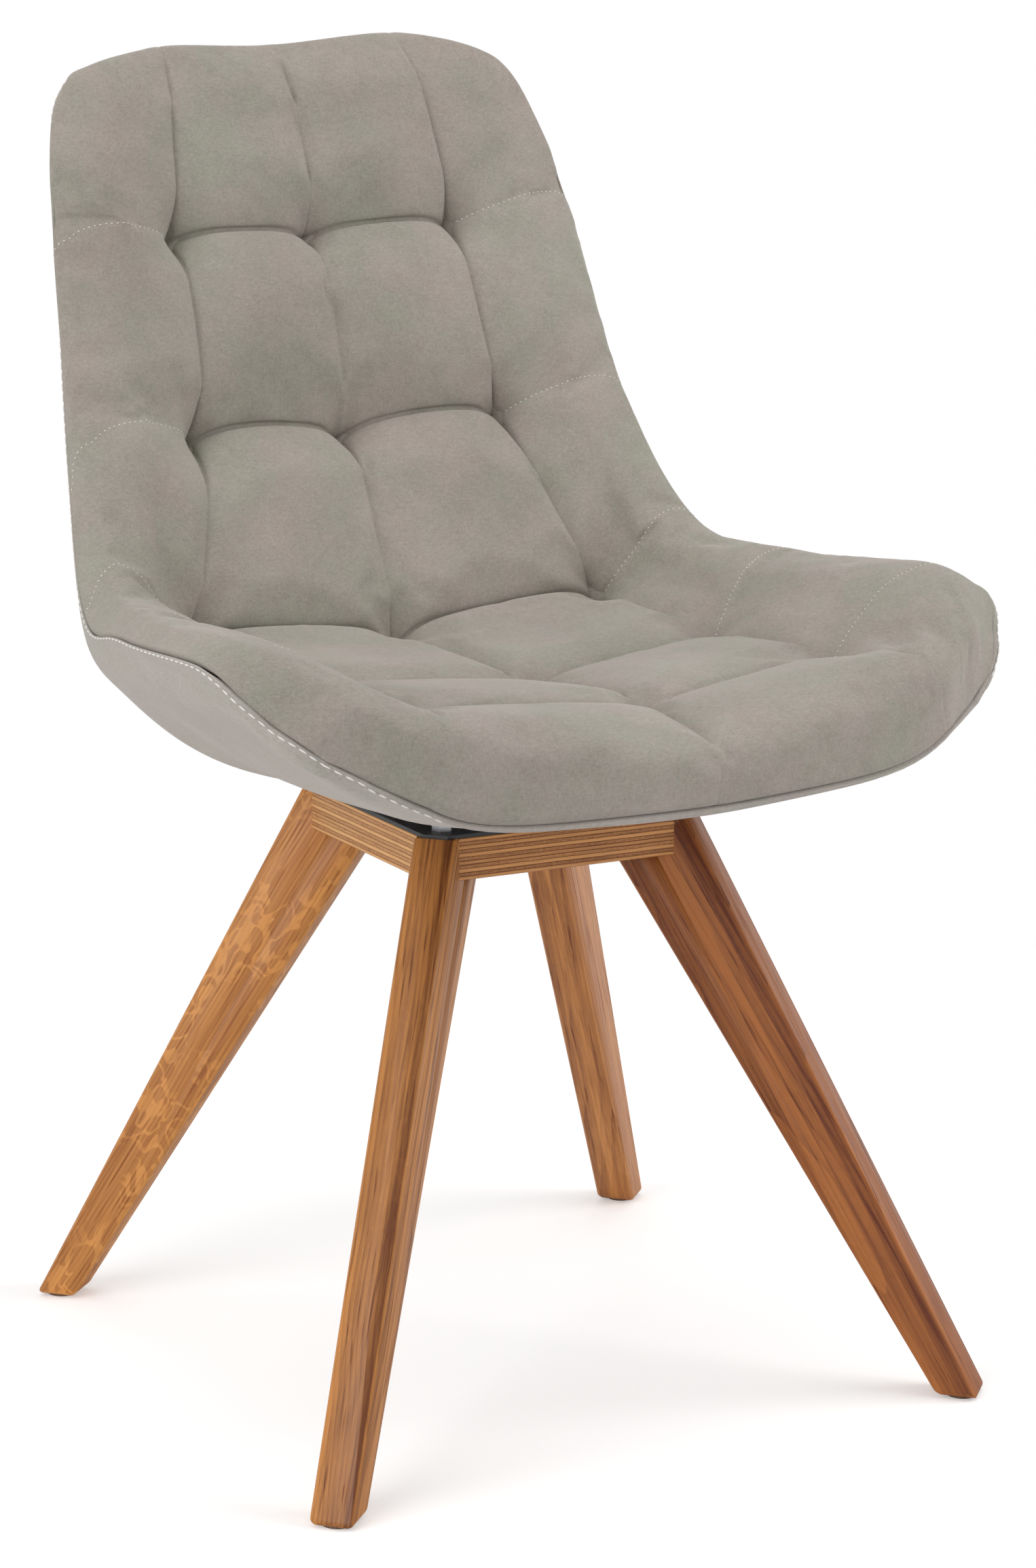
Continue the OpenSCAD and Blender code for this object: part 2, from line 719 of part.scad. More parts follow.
// Leg along the positive diagonal, turned to its corner
module leg(turn) {
    color(oak) in_base() rotate([0, 0, turn]) difference() {
        rotate([90, 0, 0]) hull() {
            translate([0, 0, -leg_t / 2 + leg_arris]) linear_extrude(leg_t - 2 * leg_arris)
                leg_profile(0);
            translate([0, 0, -leg_t / 2]) linear_extrude(leg_t) leg_profile(leg_arris);
        }
        translate([leg_bolt_ring, 0, insert_z - end_gap])
            cylinder(r = leg_bolt_r + insert_wall + run_gap, h = insert_h + over, $fn = round_fn);
        rotate([0, 0, -45]) {
            rotate([0, 0, 90]) translate([0, -rail_mid, dowel_z]) dowel(run_gap);
            mirror([0, 1, 0]) translate([0, -rail_mid, dowel_z]) dowel(run_gap);
        }
        translate([glide_ring, 0, glide_t - over])
            cylinder(r = nail_r + run_gap, h = nail_h + over + end_gap, $fn = small_fn);
    }
}

module leg_rear_right() { leg(45); }
module leg_rear_left() { leg(135); }
module leg_front_left() { leg(225); }
module leg_front_right() { leg(315); }

module foot_glides() {
    color("ivory") in_base() for (i = [0 : 3]) rotate([0, 0, 45 + 90 * i])
        translate([glide_ring, 0, 0]) {
            cylinder(r = glide_r, h = glide_t, $fn = round_fn);
            cylinder(r = nail_r, h = glide_t + nail_h, $fn = small_fn);
        }
}

quilted_cover();
seat_foam();
seat_shell();
rear_cover();
tee_nuts();
seat_plate();
seat_bolts();
bolt_washers();
upper_race();
pivot_stud();
pivot_washer();
pivot_nut();
ball_cage();
bearing_balls();
lower_race();
pivot_bush();
base_plate();
leg_bolts();
leg_inserts();
rail_screws();
front_rail();
rear_rail();
left_rail();
right_rail();
leg_front_left();
leg_front_right();
leg_rear_left();
leg_rear_right();
rail_dowels();
foot_glides();
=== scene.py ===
import json
import math

import bmesh
import bpy
import numpy as np
from mathutils import Matrix, Vector


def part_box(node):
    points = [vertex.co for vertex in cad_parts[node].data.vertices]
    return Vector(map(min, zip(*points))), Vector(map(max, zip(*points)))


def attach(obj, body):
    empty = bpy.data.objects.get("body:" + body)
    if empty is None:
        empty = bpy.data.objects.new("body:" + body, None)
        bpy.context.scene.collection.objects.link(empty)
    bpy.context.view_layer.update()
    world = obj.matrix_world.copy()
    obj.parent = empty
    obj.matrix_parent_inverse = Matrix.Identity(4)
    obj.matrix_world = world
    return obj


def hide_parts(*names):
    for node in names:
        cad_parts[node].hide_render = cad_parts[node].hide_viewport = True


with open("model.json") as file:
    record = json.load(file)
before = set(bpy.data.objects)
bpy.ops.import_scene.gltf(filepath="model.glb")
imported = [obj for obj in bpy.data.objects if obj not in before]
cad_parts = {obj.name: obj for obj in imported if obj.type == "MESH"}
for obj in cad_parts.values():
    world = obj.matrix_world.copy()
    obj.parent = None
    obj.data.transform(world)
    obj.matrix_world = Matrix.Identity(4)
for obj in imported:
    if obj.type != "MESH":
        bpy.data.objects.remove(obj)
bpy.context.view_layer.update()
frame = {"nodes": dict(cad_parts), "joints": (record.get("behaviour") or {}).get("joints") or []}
scene = bpy.context.scene
scene.view_settings.view_transform = "Standard"
mm = 0.001
swivel_y = frame["joints"][0]["pos_m"][1]


# Studio
# A pale floor that fades into a white surround, wide soft lights on both sides and
# above, and the camera at the photograph's place.
camera_azimuth = math.radians(-33.79)
camera_elevation = math.radians(12.35)
camera_roll = math.radians(0.12)
camera_distance = 2.5257
camera_target = Vector((0, swivel_y, 0.3964))
camera_lens = 86.15
camera_shift_x = 0.0136

white = (1, 1, 1, 1)
floor_size = 12
floor_clear_from = 0.5
floor_clear_to = 1.5
floor_glow = 0.29
surround_light = 0.44
# Where all lamps aim
aim_place = Vector((0, 0, 0.55))
# Each lamp: its name, place, width and power
lamps = (
    ("left_light", Vector((-2.0, -0.35, 1.15)), 1.7, 26),
    ("right_light", Vector((1.75, -1.35, 1.25)), 1.5, 25.5),
    ("top_light", Vector((0.2, 0.1, 2.4)), 1.8, 14.5))


class Field:
    """A socket in a material's tree; arithmetic on it adds Math nodes."""

    def __init__(self, tree, socket):
        self.tree = tree
        self.socket = socket

    def math(self, operation, first, second):
        node = self.tree.nodes.new("ShaderNodeMath")
        node.operation = operation
        for place, value in enumerate((first, second)):
            connect(self.tree, node.inputs[place], value)
        return Field(self.tree, node.outputs[0])

    def __add__(self, other):
        return self.math("ADD", self, other)

    def __sub__(self, other):
        return self.math("SUBTRACT", self, other)

    def __rsub__(self, other):
        return self.math("SUBTRACT", other, self)

    def __mul__(self, other):
        return self.math("MULTIPLY", self, other)

    def __truediv__(self, other):
        return self.math("DIVIDE", self, other)

    def __pow__(self, other):
        return self.math("POWER", self, other)

    def __abs__(self):
        return self.math("ABSOLUTE", self, 0)

    def fraction(self):
        return self.math("FRACT", self, 0)


def connect(tree, socket, value):
    """Links a field to a socket, or writes a plain value on it."""
    if isinstance(value, Field):
        tree.links.new(value.socket, socket)
    else:
        socket.default_value = value


class Finish:
    """A material of one Principled shader, with a method for any other node."""

    def __init__(self, name):
        self.material = bpy.data.materials.new(name)
        self.material.use_nodes = True
        self.tree = self.material.node_tree
        self.shader = self.tree.nodes["Principled BSDF"]

    def node(self, kind, settings=None, sockets=None, output=0):
        """Adds a node: its settings come first, then the values or links of its sockets."""
        node = self.tree.nodes.new(kind)
        for name, value in (settings or {}).items():
            setattr(node, name, value)
        for name, value in (sockets or {}).items():
            connect(self.tree, node.inputs[name], value)
        return Field(self.tree, node.outputs[output])

    def place(self, rotation=(0, 0, 0), location=(0, 0, 0)):
        """Object coordinates, turned and moved."""
        here = self.node("ShaderNodeTexCoord", output="Object")
        return self.node("ShaderNodeMapping", None, {
            "Vector": here, "Rotation": rotation, "Location": location})

    def noise(self, where, scale, detail=3.0, roughness=0.5, distortion=0.0):
        return self.node("ShaderNodeTexNoise", None, {
            "Vector": where, "Scale": scale, "Detail": detail, "Roughness": roughness,
            "Distortion": distortion})

    def between(self, low, high, value):
        """0 below low, 1 above high, smooth between."""
        return self.node("ShaderNodeMapRange", {"interpolation_type": "SMOOTHSTEP"}, {
            "Value": value, "From Min": low, "From Max": high})

    def mix(self, share, first, second):
        return self.node("ShaderNodeMix", {"data_type": "RGBA"}, {
            0: share, 6: first, 7: second}, output=2)

    def set(self, **values):
        """Writes constants or links on the shader's own sockets."""
        for name, value in values.items():
            connect(self.tree, self.shader.inputs[name.replace("_", " ")], value)

    def bump(self, height, strength, distance):
        self.set(Normal=self.node("ShaderNodeBump", None, {
            "Height": height, "Strength": strength, "Distance": distance}))


def srgb(red, green, blue):
    """Linear colour of a shade given in 0 to 255."""
    linear = [((v / 255 + 0.055) / 1.055) ** 2.4 for v in (red, green, blue)]
    return (*linear, 1.0)


def area_lamp(name, place, width, power):
    lamp = bpy.data.lights.new(name, "AREA")
    lamp.size = width
    lamp.energy = power
    holder = bpy.data.objects.new(name, lamp)
    holder.location = place
    holder.rotation_euler = (aim_place - place).to_track_quat("-Z", "Y").to_euler()
    scene.collection.objects.link(holder)


def placed(name, mesh):
    """A smooth-shaded object of the scene that holds a mesh."""
    mesh.polygons.foreach_set("use_smooth", [True] * len(mesh.polygons))
    made = bpy.data.objects.new(name, mesh)
    scene.collection.objects.link(made)
    return made


def mesh_object(name, points, faces, finish=None):
    mesh = bpy.data.meshes.new(name)
    mesh.from_pydata([tuple(p) for p in points], [], [tuple(f) for f in faces])
    mesh.update()
    if finish:
        mesh.materials.append(finish.material)
    return placed(name, mesh)


camera_back = Vector((
    math.sin(camera_azimuth) * math.cos(camera_elevation),
    -math.cos(camera_azimuth) * math.cos(camera_elevation),
    math.sin(camera_elevation)))
camera_level = Vector((math.cos(camera_azimuth), math.sin(camera_azimuth), 0))
camera_right = camera_level * math.cos(camera_roll) \
    + camera_back.cross(camera_level) * math.sin(camera_roll)
camera_up = camera_back.cross(camera_right)
camera = bpy.data.objects.new("camera", bpy.data.cameras.new("camera"))
camera.data.lens = camera_lens
camera.data.shift_x = camera_shift_x
camera_turn = Matrix((camera_right, camera_up, camera_back)).transposed().to_4x4()
camera_move = Matrix.Translation(camera_target + camera_distance * camera_back)
camera.matrix_world = camera_move @ camera_turn
scene.collection.objects.link(camera)
scene.camera = camera

world = bpy.data.worlds.new("surround")
scene.world = world
world.use_nodes = True
ground = world.node_tree.nodes["Background"]
light_path = world.node_tree.nodes.new("ShaderNodeLightPath")
direct = Field(world.node_tree, light_path.outputs["Is Camera Ray"])
mirrored = Field(world.node_tree, light_path.outputs["Is Glossy Ray"])
shown = direct.math("MAXIMUM", direct, mirrored)
connect(world.node_tree, ground.inputs["Strength"],
        shown * (1 - surround_light) + surround_light)
connect(world.node_tree, ground.inputs["Color"], white)

for lamp in lamps:
    area_lamp(*lamp)

paper = Finish("floor_paper")
glow = paper.node("ShaderNodeLightPath") * floor_glow
paper.set(Base_Color=(0.93, 0.93, 0.93, 1), Roughness=0.9, Specular_IOR_Level=0.1,
          Emission_Strength=1.0, Emission_Color=paper.node("ShaderNodeCombineColor", None, {
              "Red": glow, "Green": glow, "Blue": glow}))
reach = paper.node("ShaderNodeVectorMath", {"operation": "LENGTH"}, {
    0: paper.node("ShaderNodeTexCoord", output="Object")}, output=1)
clear = paper.node("ShaderNodeBsdfTransparent")
faded = paper.node("ShaderNodeMixShader", None, {
    0: paper.between(floor_clear_from, floor_clear_to, reach),
    1: Field(paper.tree, paper.shader.outputs[0]), 2: clear})
connect(paper.tree, paper.tree.nodes["Material Output"].inputs["Surface"], faded)
half = floor_size / 2
floor = mesh_object("floor", [(-half, -half, 0), (half, -half, 0), (half, half, 0),
                              (-half, half, 0)], [(0, 1, 2, 3)], paper)


# Quilted cover
# One front cover of microvelvet over wadding, sewn in panels and drawn down to the
# shell at its tufts. Its panels stand between five cross seams and three lengthwise.

# Lines along the seat, from the front seam over the front edge, the seat's cross
# seams, the crease, the back's cross seams and the top edge to the top seam. Each
# point is [x, y, z] in millimetres, y from the swivel axis, z from the underside.
mid_line = [
    [0, -245, 14], [0, -232, 48], [0, -169, 59], [0, -38, 53], [0, 124, 66],
    [0, 202, 198], [0, 245, 335], [0, 271, 419], [0, 286, 464], [0, 306, 460]]
stitch_line = [
    [200, -228, 34], [184, -212, 78], [170, -141, 70], [168, -14, 67], [165, 116, 83],
    [125, 190, 206], [113, 236, 339], [104, 264, 423], [95, 278, 470], [92, 300, 462]]
crest_line = [
    [231, -217, 50], [240, -196, 102], [260, -128, 124], [250, 15, 122], [226, 104, 134],
    [214, 174, 225], [202, 224, 356], [188, 250, 420], [166, 263, 456], [141, 294, 454]]
seam_line = [
    [257, -205, 66], [280, -180, 86], [300, -138, 114], [284, -5, 108], [260, 94, 108],
    [227, 176, 196], [205, 229, 333], [190, 261, 410], [182, 274, 431], [168, 286, 447]]
rear_mid_line = [
    mid_line[0], [0, -222, 4], [0, -165, -4], [0, -40, -7], [0, 150, 10],
    [0, 246, 188], [0, 288, 330], [0, 308, 416], [0, 314, 446], mid_line[9]]
rear_stitch_line = [
    stitch_line[0], [178, -195, 17], [165, -140, 8], [160, -20, 5], [158, 122, 21],
    [125, 236, 186], [115, 282, 328], [104, 302, 414], [95, 308, 444], stitch_line[9]]
rear_crest_line = [
    crest_line[0], [266, -192, 61], [272, -136, 78], [257, 10, 71], [242, 108, 78],
    [206, 205, 184], [187, 249, 328], [174, 279, 406], [158, 294, 430], crest_line[9]]
front_net = np.array([mid_line, stitch_line, crest_line, seam_line], float)
rear_net = np.array([rear_mid_line, rear_stitch_line, rear_crest_line, seam_line], float)
rim = 3
top = 9
seat_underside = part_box("rear_cover")[0].z
net_origin = np.array([0, swivel_y, seat_underside])

# Where the middle of the thickness stops short of the rim, in lines
core_across = 1.8
core_from = 1.4
core_to = 7.5
# The arch of the cross seams, in rows, and how full it is
seam_arch = 0.08
arch_power = 0.7
middle_drop = 8.5
drop_reach = 1.2
# The front seam runs straight from the outer lengthwise seams to the corners
straight_reach = 1.6
# How the covers were sewn, off the net. They are drawn up a little higher on the right,
# by this slope, and the top edge comes down a little more on the left.
lean = 0.02
lean_heights = (0, 450)
top_lean = 0.045
top_lean_heights = (350, 450)
top_lean_across = (1.2, 2.2)
# The back's lengthwise seams lie a little to the right
sway = 4.5
sway_across = (1, 3)
sway_along = (4, 4.8, 6.2, 8)
sway_shares = (0, 1, 1, 0)
# The left edge seam is drawn up along the seat, with a kink at its front
lift_across = (2, 3)
lift_along = (1.6, 2.1, 3.3, 4.3)
lift_heights = (0, 4.5, 5.5, 0)
# The right rim is drawn down at the seat's rear cross seam
dip_across = (1.4, 1.9)
dip_along = (1.2, 2.2, 3.0, 3.6, 4.1)
dip_depths = (0, 3.5, 6.5, 3, 0)
quilt_t = 8
# How far the mesh crowds towards the seams
crowding = 0.8
crowding_power = 1.5


def with_ends(rows):
    """Rows of points with one more at each end, in line with the last two."""
    return np.concatenate([2 * rows[:1] - rows[1:2], rows, 2 * rows[-1:] - rows[-2:-1]])


def smooth_between(p, t):
    """Points of a smooth curve between the second and the third of four points."""
    return 0.5 * (2 * p[1] + (p[2] - p[0]) * t + (2 * p[0] - 5 * p[1] + 4 * p[2] - p[3]) * t ** 2
                  + (3 * p[1] - p[0] - 3 * p[2] + p[3]) * t ** 3)


def along_line(rows, places_at):
    """Points of a smooth line through rows of points, at places counted in rows."""
    i = np.clip(np.floor(places_at).astype(int), 0, len(rows) - 2)
    ends = with_ends(rows)
    return smooth_between([ends[i + k] for k in range(4)], (places_at - i)[:, None])


def as_sewn(points, u, v):
    """Moves points of the symmetric net to where the covers were sewn."""
    wide = np.abs(u)
    height = points[:, 2]
    slope = lean * np.interp(height, lean_heights, (0, 1)) + np.where(u < 0, top_lean, 0) \
        * np.interp(height, top_lean_heights, (0, 1)) * np.interp(wide, top_lean_across, (1, 0))
    points[:, 2] += points[:, 0] * slope
    points[:, 2] += np.interp(-u, lift_across, (0, 1)) * np.interp(v, lift_along, lift_heights)
    points[:, 2] -= np.interp(u, dip_across, (0, 1)) * np.interp(v, dip_along, dip_depths)
    points[:, 0] += sway * np.interp(wide, sway_across, (1, 0)) \
        * np.interp(v, sway_along, sway_shares)
    return points


def on_net(net, across, along, sewn=True):
    """Points of the surface through a net's lines; across and along are equal grids."""
    u, v = across.ravel(), along.ravel()
    right_lines = [along_line(line, v) for line in net]
    left_lines = [line * (-1, 1, 1) for line in right_lines[:0:-1]]
    lines = with_ends(np.array(left_lines + right_lines))
    i = np.clip(np.floor(u + rim).astype(int), 0, 2 * rim - 1)
    t = (u + rim - i)[:, None]
    near = [lines[i + k, np.arange(len(u))] for k in range(4)]
    made = smooth_between(near, t)
    straight = near[1] * (1 - t) + near[2] * t
    share = np.where(np.abs(u) > 1, np.clip(1 - v / straight_reach, 0, 1), 0)[:, None]
    made += (straight - made) * share
    if sewn:
        made = as_sewn(made, u, v)
    return made.reshape(*across.shape, 3)


def across_rise(across):
    a = np.abs(across)
    return np.clip(np.sin(np.pi * np.where(a <= 1, a, (a - 1) / (rim - 1))), 0, 1) ** arch_power


def arched(across, along):
    """Cross seams arch upwards between their tufts."""
    return along + seam_arch * across_rise(across) * np.sin(np.pi * along / top)


def hanging(points, across, along):
    """The front seam hangs down between the lengthwise seams."""
    drop = middle_drop * np.sin(np.pi * np.minimum(np.abs(across), 1) ** 2)
    points[..., 2] -= drop * np.clip(1 - along / drop_reach, 0, 1)
    return points


def front_at(across, along, sewn=True):
    return hanging(on_net(front_net, across, arched(across, along), sewn), across, along)


def rear_at(across, along, sewn=True):
    points = hanging(on_net(rear_net, across, arched(across, along), sewn), across, along)
    points[..., 2] = np.maximum(points[..., 2], 0)
    return points


def core_at(across, along):
    """Middle of the seat's thickness, which stops short of the rim."""
    u, v = np.clip(across, -core_across, core_across), np.clip(along, core_from, core_to)
    return (front_at(u, v, False) + rear_at(u, v, False)) / 2


def unit(vectors):
    return vectors / np.maximum(np.linalg.norm(vectors, axis=-1, keepdims=True), 1e-9)


def sunk(faces, core, depth, share):
    """Points at a depth under a face, at most a share of the way to the middle."""
    way = core - faces
    length = np.linalg.norm(way, axis=-1, keepdims=True)
    depth = depth[..., None] if isinstance(depth, np.ndarray) else depth
    return faces + way * np.minimum(depth / length, share)


def eased(steps, crowded=""):
    """Places from 0 to 1, which may be crowded at the start, the end or both."""
    s = np.linspace(0, 1, steps + 1)
    if crowded == "both":
        return s - crowding * np.sin(2 * np.pi * s) / (2 * np.pi)
    if crowded == "start":
        return s ** crowding_power
    if crowded == "end":
        return 1 - (1 - s) ** crowding_power
    return s


def places(stretches):
    """Places over several stretches, each (start, end, steps) and where it is crowded."""
    parts = [start + (end - start) * eased(*steps) for start, end, *steps in stretches]
    return np.concatenate([part[:-1] for part in parts] + [[stretches[-1][1]]])


def grid_normals(points):
    """Unit normals of a grid of points, along by across, on the sitter's side."""
    return unit(np.cross(np.gradient(points, axis=1), np.gradient(points, axis=0)))


def closed_faces(rows, columns):
    """Faces of a closed solid between two grids of the same size, the upper first."""
    index = np.arange(rows * columns).reshape(rows, columns)
    a, b, c, d = index[:-1, :-1], index[:-1, 1:], index[1:, 1:], index[1:, :-1]
    upper = np.stack([a, b, c, d], -1).reshape(-1, 4)
    lower = np.stack([a, d, c, b], -1).reshape(-1, 4) + rows * columns
    loop = np.concatenate([index[0, :-1], index[:-1, -1], index[-1, :0:-1], index[:0:-1, 0]])
    after = np.roll(loop, -1)
    under = rows * columns
    sides = np.stack([loop, loop + under, after + under, after], -1)
    return np.concatenate([upper, lower, sides])


def soft_solid(name, upper, lower, finish):
    points = np.concatenate([upper.reshape(-1, 3), lower.reshape(-1, 3)]) * mm + net_origin
    return mesh_object(name, points, closed_faces(*upper.shape[:2]).tolist(), finish)


# How the panels stand over the net in millimetres, from (place, value) keys: their
# rise across and along, and the depth of the lengthwise seams
rise_across = [(0, 15), (1, 15), (1.5, 9), (2, 2), (3, 0)]
rise_along = [(0, 0.3), (1, 0.7), (2, 1), (6, 1), (7, 0.6), (8, 0.15), (9, 0)]
# How much of that rise the seat's front corners lack
corner_across = [(1, 0), (2, 0.75), (3, 0.75)]
corner_along = [(0, 1), (0.7, 1), (2, 0)]
side_seam_depth = [(0, 0), (1.2, 1), (2, 8), (2.3, 3.5), (2.7, 3.5), (3, 9), (3.3, 3),
                   (3.7, 2), (4, 14), (4.3, 1.6), (4.7, 1.6), (5, 13), (5.25, 4), (5.75, 4),
                   (6, 13), (6.4, 2.5), (7.2, 0), (9, 0)]
mid_seam_depth = [(0, 0), (1.2, 1), (2, 8), (2.3, 4.5), (2.7, 4.5), (3, 9), (3.3, 3.5),
                  (3.7, 2), (4, 12), (4.2, 0.8), (4.85, 0.8), (5, 11), (5.12, 1), (5.88, 1),
                  (6, 11), (6.25, 1), (7.2, 0), (9, 0)]
# Each cross seam: its place along, its depth in the middle, the depth of its tufts, how
# far the fold beside it rolls over it, up or down, how sharp its crease is in the middle
# and how firmly it is sewn down between its tufts
cross_seams = (
    (2, 5, 11, 0, 0.25, 0.15), (3, 8, 13, 0, 0.25, 0.2), (4, 10, 13, -5, 0.9, 0.5),
    (5, 11, 13, 5, 1, 0.5), (6, 11, 13, 5, 1, 0.5))
# How far out a cross seam keeps its middle value, where it has its outer one, and its end
seam_reach = (0.9, 1.15, 1.8, 2.5)
# From this row on the outer cross seams come down towards the rim, more on the left
fall_from = 5
left_fall = 0.18
right_fall = 0.06
seam_spread = 17
# The panel that lies under a fold starts nearly level with its seam
under_spread = 8
tuft_spread = 13
# How steeply a seam and a tuft sink, and how sharply two valleys meet
seam_steepness = 1.1
tuft_steepness = 1.3
valley_meeting = 2.5
# A fold's reach beside its seam, how full it is, and its strength across
fold_reach = 9
fold_power = 1.5
fold_across = [(0, 0.4), (0.5, 1), (0.9, 0.5), (1.1, 0)]
# Width and depth of the crease that the thread itself leaves
crease_reach = 1.7
crease_depth = 3.2
outer_sharp = 0.14
side_sharp = [(0, 0.2), (1, 0.12), (2, 0.2), (3.8, 0.2), (4, 1.4), (4.2, 0.35), (4.7, 0.35),
              (5, 1.3), (5.3, 0.4), (5.7, 0.4), (6, 1.2), (6.4, 0.7), (7.2, 0.5), (8, 0.2),
              (8.7, 0)]
mid_sharp = [(0, 0.2), (1, 0.12), (2, 0.2), (3.8, 0.2), (4, 0.8), (4.3, 0.15), (4.7, 0.15),
             (5, 0.7), (5.12, 0.1), (5.88, 0.1), (6, 0.7), (6.2, 0.4), (7.2, 0.3), (7.8, 0.1),
             (8.4, 0)]
# Each lengthwise seam: its line across, its depths and how sharp its crease is
lengthwise_seams = ((-1, side_seam_depth, side_sharp), (0, mid_seam_depth, mid_sharp),
                    (1, side_seam_depth, side_sharp))
# The cover rounds off to the edge seam over this width, and its corners by this power
edge_round = 28
corner_power = 3.0


def level_between(keys, places_at):
    """Smooth values at places, from (place, value) keys."""
    at, values = zip(*keys)
    t = np.interp(places_at, at, np.arange(len(at)))
    i = np.clip(np.floor(t).astype(int), 0, len(at) - 2)
    s = t - i
    s = s * s * (3 - 2 * s)
    values = np.array(values, float)
    return values[i] * (1 - s) + values[i + 1] * s


def steps_of(points, across, along):
    """Millimetres on the surface for one line across and one along."""
    return (np.linalg.norm(np.gradient(points, axis=1), axis=-1) / np.gradient(across, axis=1),
            np.linalg.norm(np.gradient(points, axis=0), axis=-1) / np.gradient(along, axis=0))


def rim_distance(across, along, step_u, step_v):
    """Millimetres to the edge seam, rounded off at the corners."""
    sideways = np.maximum((rim - np.abs(across)) * step_u, 1e-3)
    endways = np.maximum(np.minimum(along, top - along) * step_v, 1e-3)
    return (sideways ** -corner_power + endways ** -corner_power) ** (-1 / corner_power)


def row_share(wide, middle, outside=0):
    """A cross seam's value in the middle of the seat and on its outer panels."""
    values = (middle, outside, outside, 0)
    return level_between([(0, middle), *zip(seam_reach, values)], wide)


def past(row, across, along):
    """Rows from a cross seam, which falls towards the rim on the back."""
    fall = np.where(across < 0, left_fall, right_fall) if row >= fall_from else 0
    return along - row + fall * np.clip(np.abs(across) - 1, 0, 1) ** 2


def quilted(across, along):
    """The drawn-in cover before it is filled, and the millimetres to its edge seam."""
    base = front_at(across, along)
    step_u, step_v = steps_of(base, across, along)
    wide = np.abs(across)
    rise = level_between(rise_across, wide) * level_between(rise_along, along)
    rise *= 1 - level_between(corner_across, wide) * level_between(corner_along, along)
    valleys = np.zeros_like(wide)
    for seam, depths, sharpness in lengthwise_seams:
        gap = np.abs(across - seam) * step_u
        sunken = level_between(depths, along) * np.exp(-(gap / seam_spread) ** seam_steepness)
        valleys += sunken ** valley_meeting
    slide = np.zeros_like(wide)
    for row, middle, tuft, lip, sharp, firm in cross_seams:
        gap = past(row, across, along) * step_v
        spread = np.where(gap * lip < 0, under_spread, seam_spread)
        sunken = row_share(wide, middle) * np.exp(-(np.abs(gap) / spread) ** seam_steepness)
        valleys += sunken ** valley_meeting
        beside = np.maximum(gap * np.sign(lip), 0) / fold_reach
        slide -= lip * (beside * np.exp(1 - beside)) ** fold_power \
            * level_between(fold_across, wide)
    valleys = valleys ** (1 / valley_meeting)
    for row, middle, tuft, *others in cross_seams:
        for seam, *rest in lengthwise_seams:
            reach = np.hypot((across - seam) * step_u, (along - row) * step_v)
            valleys += tuft * np.exp(-(reach / tuft_spread) ** tuft_steepness)
    edge = rim_distance(across, along, step_u, step_v)
    held = 1 - np.clip(edge / edge_round, 0, 1)
    height = (rise - valleys) * np.sqrt(1 - held ** 2)
    lengthwise = unit(np.gradient(base, axis=0))
    return base + grid_normals(base) * height[..., None] + lengthwise * slide[..., None], edge


def creases(across, along):
    """Depth of the narrow crease at every seam line, in millimetres."""
    step_u, step_v = steps_of(front_at(across, along), across, along)
    wide = np.abs(across)
    deepest = np.zeros_like(wide)
    for seam, depths, sharpness in lengthwise_seams:
        fade = level_between(sharpness, along)
        deepest = np.maximum(deepest, fade * np.exp(-np.abs(across - seam) * step_u / crease_reach))
    for row, *rest, sharp, firm in cross_seams:
        share = row_share(wide, sharp, outer_sharp)
        gap = past(row, across, along) * step_v
        deepest = np.maximum(deepest, share * np.exp(-np.abs(gap) / crease_reach))
    return crease_depth * deepest


# The filling: a sheet of cloth on an even mesh, sewn along the seams and pushed out by
# its wadding, with a little more cloth than the net so that it wrinkles at the tufts
fill_steps = 24
fill_pressure = 2.2
fill_surplus = -0.01
fill_cap = 6
# How firmly the lengthwise seams are sewn down along the seat, and where the sheet is
# held fast beside the edge seam
lengthwise_firmness = [
    (0, 0), (1.2, 0.1), (1.8, 0.3), (2, 1), (2.15, 0.1), (2.85, 0.1), (3, 1), (3.15, 0.05),
    (3.85, 0.02), (4, 1), (4.12, 0.02), (4.88, 0.02), (5, 1), (5.12, 0.06), (5.88, 0.06),
    (6, 1), (6.12, 0.08), (7.2, 0), (9, 0)]
held_across = 2.3
held_below = 0.5
held_above = 8.2
# The sheet's mesh: how many steps it has from each line or row to the next
sheet_columns = places([(-3, -2, 8), (-2, -1, 18), (-1, 1, 52), (1, 2, 18), (2, 3, 8)])
sheet_rows = places([(row, row + 1, steps) for row, steps in enumerate(
    (8, 12, 24, 28, 27, 26, 16, 8, 4))])


def sewn_share(across, along):
    """How firmly each point of the sheet is sewn down, from 0 to 1."""
    wide = np.abs(across)
    share = np.zeros_like(wide)
    for seam, *rest in lengthwise_seams:
        on_seam = np.abs(across - seam) < 1e-6
        share = np.where(on_seam, level_between(lengthwise_firmness, along), share)
    for row, *rest, firm in cross_seams:
        on_row = np.abs(along - row) < 1e-6
        share = np.where(on_row, np.maximum(share, row_share(wide, firm)), share)
    held = (wide > held_across) | (along < held_below) | (along > held_above)
    return np.where(held, 1.0, share)


